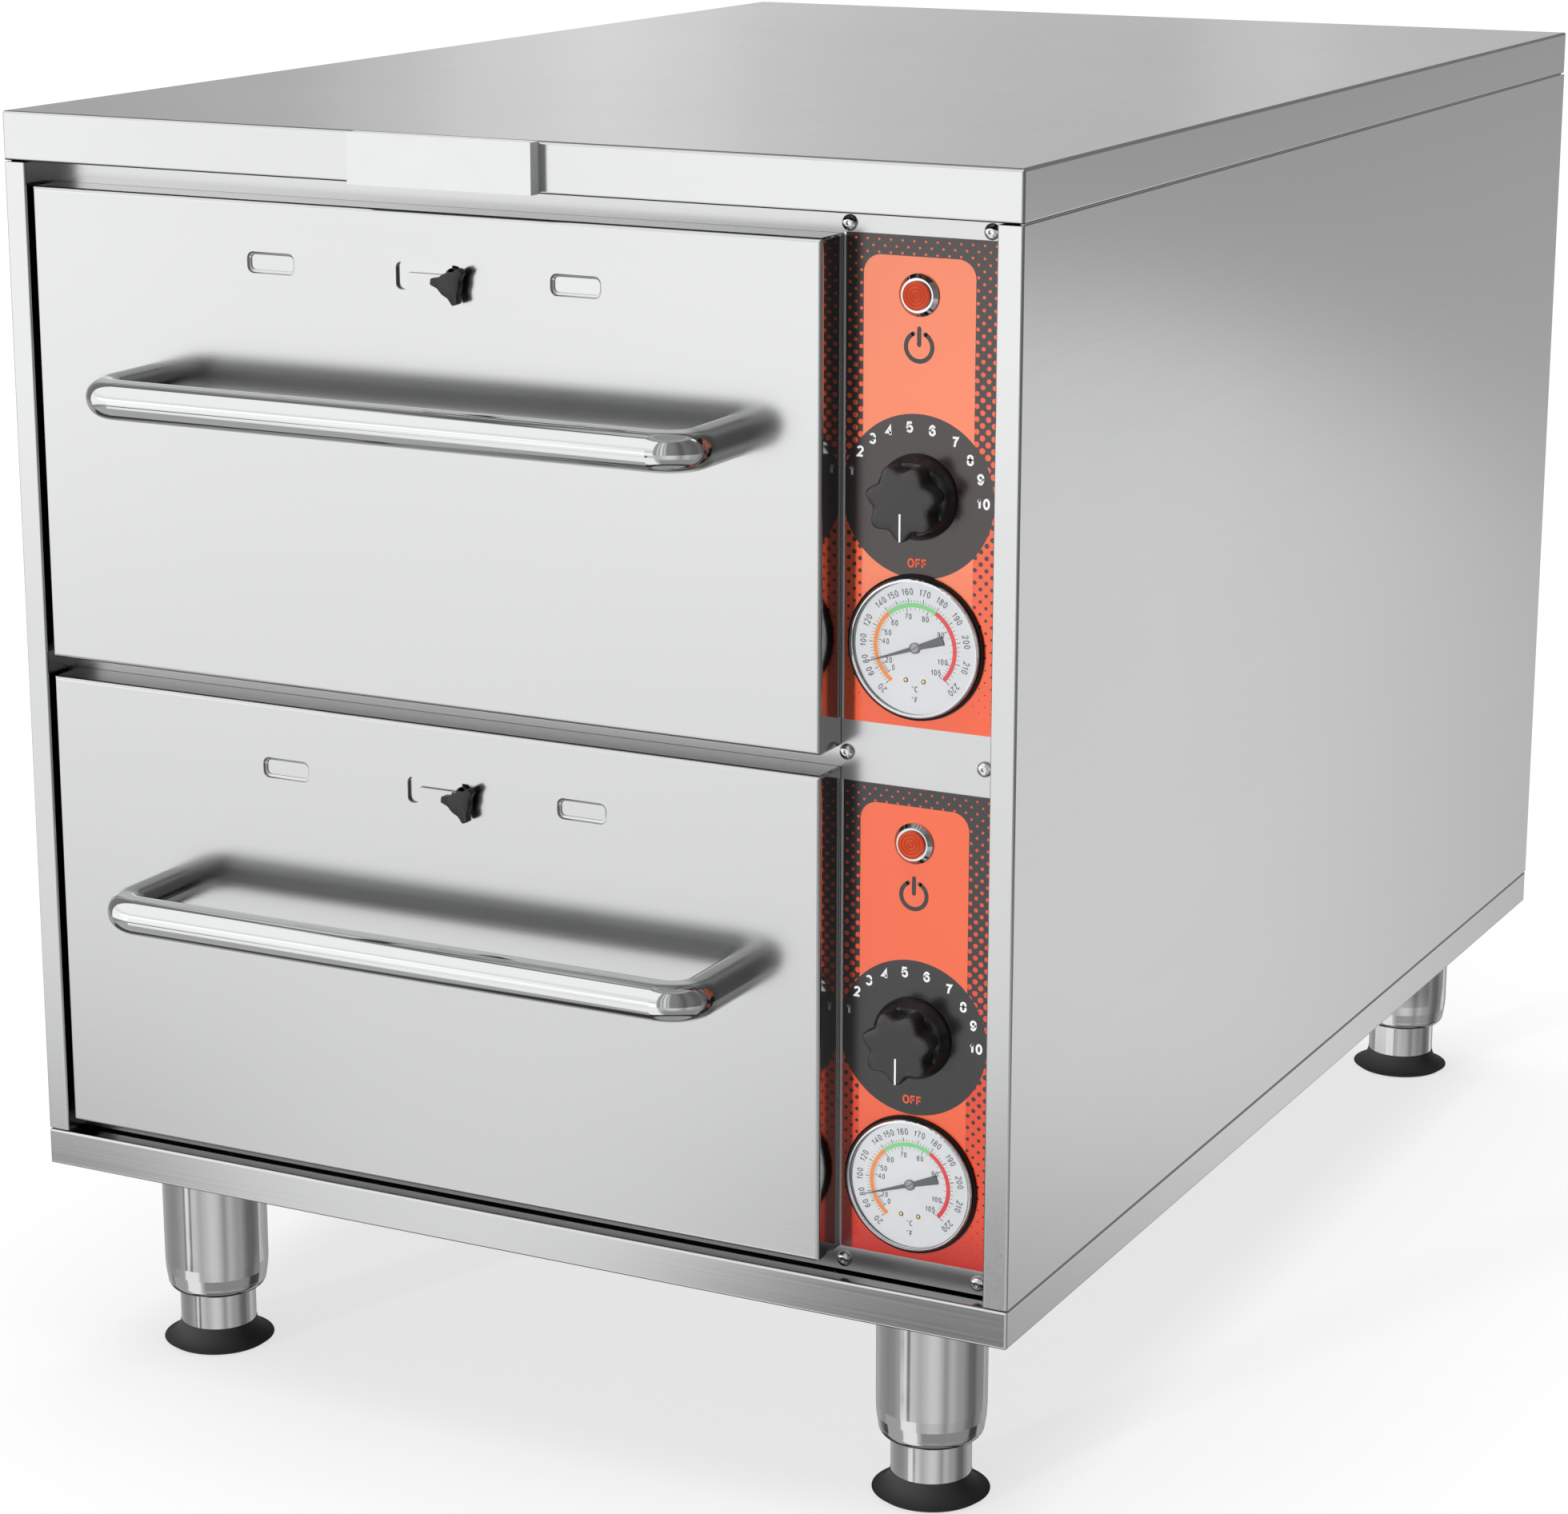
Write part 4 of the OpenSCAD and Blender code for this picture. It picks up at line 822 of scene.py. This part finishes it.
# ------------------------------------------------------------------ camera
cam_data = bpy.data.cameras.new("camera")
cam = bpy.data.objects.new("camera", cam_data)
bpy.context.scene.collection.objects.link(cam)
f = Vector((-0.4404, 0.8622, -0.2503)).normalized()
r = Vector((0.8905, 0.455, 0.0006))
r = (r - f * r.dot(f)).normalized()
up = r.cross(f)
M = Matrix((r, up, -f)).transposed().to_4x4()
M.translation = Vector((0.89824, -1.83949, 0.78735))
cam.matrix_world = M
cam_data.sensor_width = 36
cam_data.lens = 92.80
cam_data.shift_x = 0.0052
cam_data.shift_y = -0.0124
cam_data.clip_end = 200
bpy.context.scene.camera = cam

# ------------------------------------------------------------------ floor
bm = bmesh.new()
R = 30
ring = [bm.verts.new((R * cos(2 * pi * i / 64), R * sin(2 * pi * i / 64), -0.0002)) for i in range(64)]
bm.faces.new(ring)
me = bpy.data.meshes.new("floor")
bm.to_mesh(me)
bm.free()
floor = bpy.data.objects.new("floor", me)
bpy.context.scene.collection.objects.link(floor)
fm, ft, fb, fco = new_mat("floor", (0.36, 0.36, 0.36), 0.0, 0.9)
fb.inputs["Specular IOR Level"].default_value = 0.0
fb.inputs["Emission Color"].default_value = (1, 1, 1, 1)
fb.inputs["Emission Strength"].default_value = 0.70
me.materials.append(fm)
floor.visible_glossy = False
floor.visible_diffuse = False

# ------------------------------------------------------------------ studio: a soft surround of light panels
world = bpy.data.worlds.new("studio")
bpy.context.scene.world = world
world.use_nodes = True
w = T(world.node_tree)
w.n.clear()
out = w.node("ShaderNodeOutputWorld")
bg = w.node("ShaderNodeBackground")
w.l.new(bg.outputs[0], out.inputs["Surface"])
tc = w.node("ShaderNodeTexCoord")
dx, dy, dz = w.sep(w.vm("NORMALIZE", tc.outputs["Generated"]))
az = w.m("MULTIPLY", w.m("ARCTAN2", dx, dy), 180 / pi)      # 0 behind the object, 90 to its right, 180 in front
el = w.m("MULTIPLY", w.m("ARCSINE", dz), 180 / pi)


def wrap(a0):
    q = w.m("ADD", w.m("SUBTRACT", az, a0), 180 + 360)
    q = w.m("SUBTRACT", w.m("MODULO", q, 360.0), 180.0)
    return q


def patch(L, val, a0, wa, sa, e0, e1, se):
    """Blend val into L over azimuth a0 +- wa (edge sa wide) and elevation e0..e1 (edge se wide)."""
    da = w.m("ABSOLUTE", wrap(a0))
    ma = w.step(da, wa + sa, wa - sa)
    me_ = w.m("MULTIPLY", w.step(el, e0 - se, e0 + se), w.step(el, e1 + se, e1 - se))
    return w.mixf(w.m("MULTIPLY", ma, me_), L, val)


# what stands round the object at leg height, by azimuth
low = w.ramp(az, [(-180, 0.68), (-172, 0.74), (-160, 0.84), (-150, 0.74), (-140, 0.62), (-130, 0.50), (-118, 0.39), (-100, 0.37),
                  (-85, 0.42), (-60, 0.50), (-30, 0.40), (0, 0.42), (24, 0.46), (46, 0.34), (58, 0.19), (71, 0.21), (79, 0.33),
                  (88, 0.47), (99, 0.50), (105, 0.59), (113, 0.70), (119, 0.62), (125, 0.44), (129, 0.50), (136, 0.71), (143, 0.88),
                  (150, 0.94), (158, 0.94), (165, 0.84), (171, 0.76), (180, 0.66)])
L = w.m("MULTIPLY", low, w.step(el, -20, 0, True, 1.0, 0.55))
# dark above leg height at the right, lighter towards the front
fr = w.step(w.m("ABSOLUTE", wrap(122)), 39, 34)
L = w.mixf(fr, L, w.m("MULTIPLY", low, w.step(el, -20, -16.5, True, 1.0, 0.34)))
win = w.ramp(az, [(158, 0.30), (161, 0.62), (164, 0.80), (166, 0.35), (168, 0.95), (172, 1.0), (174.5, 0.3), (177, 0.85), (180, 0.8)])
L = w.mixf(w.m("MULTIPLY", w.step(az, 157, 159), w.step(el, -20, -17)), L, win)
L = w.mixf(w.m("MULTIPLY", w.step(az, -171, -173), w.step(el, -20, -17)), L, 0.45)
# under the object's height: dark behind and to the left, paper-bright further down
L = w.mixf(w.m("MULTIPLY", w.step(el, -27, -34), w.step(w.m("ABSOLUTE", wrap(-15)), 88, 76)), L, 0.07)
L = w.mixf(w.m("MULTIPLY", w.step(el, -27, -40), w.step(w.m("ABSOLUTE", wrap(120)), 64, 56)), L, 0.38)
# the big soft panel at the front left
da = w.m("ABSOLUTE", wrap(-131))
pan_az = w.step(da, 42.5, 38.5)
face = w.ramp(az, [(-180, 1.50), (-156, 1.60), (-150, 1.57), (-147, 1.46), (-145, 1.40), (-143.5, 1.56), (-142, 1.68), (-138, 1.6), (-120, 1.4), (-90, 1.35)])
pv = w.mixf(w.step(el, -9.5, -12.5), face, 1.32)
pv = w.mixf(w.step(el, -13, -18), pv, 1.25)
pv = w.mixf(w.step(el, -5, 1), pv, 1.33)
# a stretch just above eye level, brighter to the west, lights the slot under the cover
slot = w.ramp(az, [(-175, 0.9), (-158, 0.9), (-153.4, 1.05), (-147.3, 1.85), (-142.6, 2.7), (-138, 2.7), (-110, 1.33), (-90, 1.33)])
pv = w.mixf(w.m("MULTIPLY", w.step(el, 1.5, 3.5), w.step(el, 10, 8)), pv, slot)
pv = w.mixf(w.m("MULTIPLY", w.step(el, 8, 10), w.step(el, 22, 18)), pv, 1.15)
# its lower end is a shallow bowl, with the room's own tones in a narrow band under it and bright floor below that
depth = w.ramp(az, [(-175, 21.0), (-158, 20.0), (-156.3, 20.2), (-154.5, 21.1), (-152, 21.7), (-150, 22.5), (-147, 22.6), (-145.2, 21.6), (-143.6, 19.8), (-142, 19.2), (-138, 19.0), (-90, 19.0)])
under = w.m("ADD", el, depth)
ends = w.ramp(az, [(-175, 1.0), (-160, 1.0), (-158, 0.26), (-153.5, 0.25), (-152, 0.55), (-150.5, 1.0), (-145.5, 1.0), (-144, 0.6), (-142.5, 0.4), (-140, 0.45), (-137, 1.0), (-90, 1.0)])
foot = w.m("ADD", el, w.ramp(az, [(-175, 25.2), (-152, 25.2), (-150.5, 23.5), (-90, 23.5)]))
ends = w.mixf(w.step(foot, -0.4, 0.4), 1.0, ends)
west = w.step(az, -134, -138)
below = w.mixf(west, w.step(el, -25.2, -26.6), w.step(foot, 0.3, -0.5))
L = w.mixf(pan_az, L, w.mixf(below, w.m("MULTIPLY", L, ends), w.mixf(west, 0.55, 1.27)))
up = w.step(under, -0.8, 0.8)
up = w.m("MULTIPLY", up, w.step(el, 59, 56))
L = w.mixf(w.m("MULTIPLY", pan_az, up), L, pv)
# the dark foot of the floor in front of the object, lighter again straight down
L = w.mixf(w.step(el, -57, -61), L, 0.05)
L = w.mixf(w.step(el, -66, -70), L, 0.42)
# high up: dark with pale strips
hi = w.ramp(el, [(57.5, 0.10), (59.3, 0.10), (60.3, 0.62), (61.6, 0.70), (62.4, 0.20), (63.4, 0.16), (64.4, 0.60), (67, 0.55), (70, 0.40), (90, 0.40)])
L = w.mixf(w.step(el, 57.5, 59.5), L, hi)
# right rear: a card that the side panel reflects, with a soft bright oval low down
q = w.m("POWER", w.m("ABSOLUTE", w.m("SUBTRACT", 23.5, az)), 2.0)
elm = w.m("SUBTRACT", w.m("SUBTRACT", el, w.m("MULTIPLY", w.m("MINIMUM", q, 90.0), -0.06)), -7.9)
oval = w.m("MULTIPLY", w.step(elm, 0.9, -1.4), w.step(az, 13.2, 21.0))
oval = w.m("MULTIPLY", oval, w.step(el, -24.3, -18.5))
side = w.mixf(oval, w.step(el, -3, -7.5, True, 0.44, 0.51), 1.005)
sm_ = w.m("MULTIPLY", w.step(w.m("ABSOLUTE", wrap(20)), 17, 12), w.step(el, 2.0, 0.5))
L = w.mixf(sm_, L, side)
# behind the object, low: what the top reflects
top = w.ramp(az, [(-44, 0.60), (-37, 0.68), (-34, 0.75), (-32.6, 0.90), (-31, 1.10), (-29.4, 1.20), (-28.4, 1.13), (-27, 0.98), (-25.5, 0.91),
                  (-23.5, 0.85), (-21.6, 0.83), (-20.6, 0.94), (-19.8, 0.98), (-18.8, 0.88), (-17, 0.83), (-10, 0.84)])
tm_ = w.m("MULTIPLY", w.step(w.m("ABSOLUTE", wrap(-27)), 22, 17), w.m("MULTIPLY", w.step(el, 0.5, 2.0), w.step(el, 16, 11)))
L = w.mixf(tm_, L, w.m("MULTIPLY", top, 0.70))
# a small card high on the right
L = patch(L, 1.3, 67, 7, 3, 42, 58, 3)
L = w.m("MULTIPLY", L, 1.1)
lp = w.node("ShaderNodeLightPath")
L = w.mixf(lp.outputs["Is Diffuse Ray"], L, 0.21)
L = w.mixf(lp.outputs["Is Camera Ray"], L, 0.96)
w.l.new(w.comb(L, L, w.m("MULTIPLY", L, 1.003)), bg.inputs["Color"])
bg.inputs["Strength"].default_value = 1.0


def sun(name, az_, el_, angle, strength):
    d = bpy.data.lights.new(name, "SUN")
    d.angle = radians(angle)
    d.energy = strength
    o = bpy.data.objects.new(name, d)
    bpy.context.scene.collection.objects.link(o)
    to = Vector((sin(radians(az_)) * cos(radians(el_)), cos(radians(az_)) * cos(radians(el_)), sin(radians(el_))))
    o.rotation_euler = to.to_track_quat("Z", "Y").to_euler()
    o.visible_glossy = False
    return o


sun("key", 180 + 20.5, 5, 4.5, 2.55)
sun("overhead", 0, 89.9, 50, 2.0)

sc = bpy.context.scene
sc.view_settings.view_transform = "Standard"
sc.view_settings.look = "None"
sc.view_settings.exposure = 0.0
sc.view_settings.gamma = 1.0
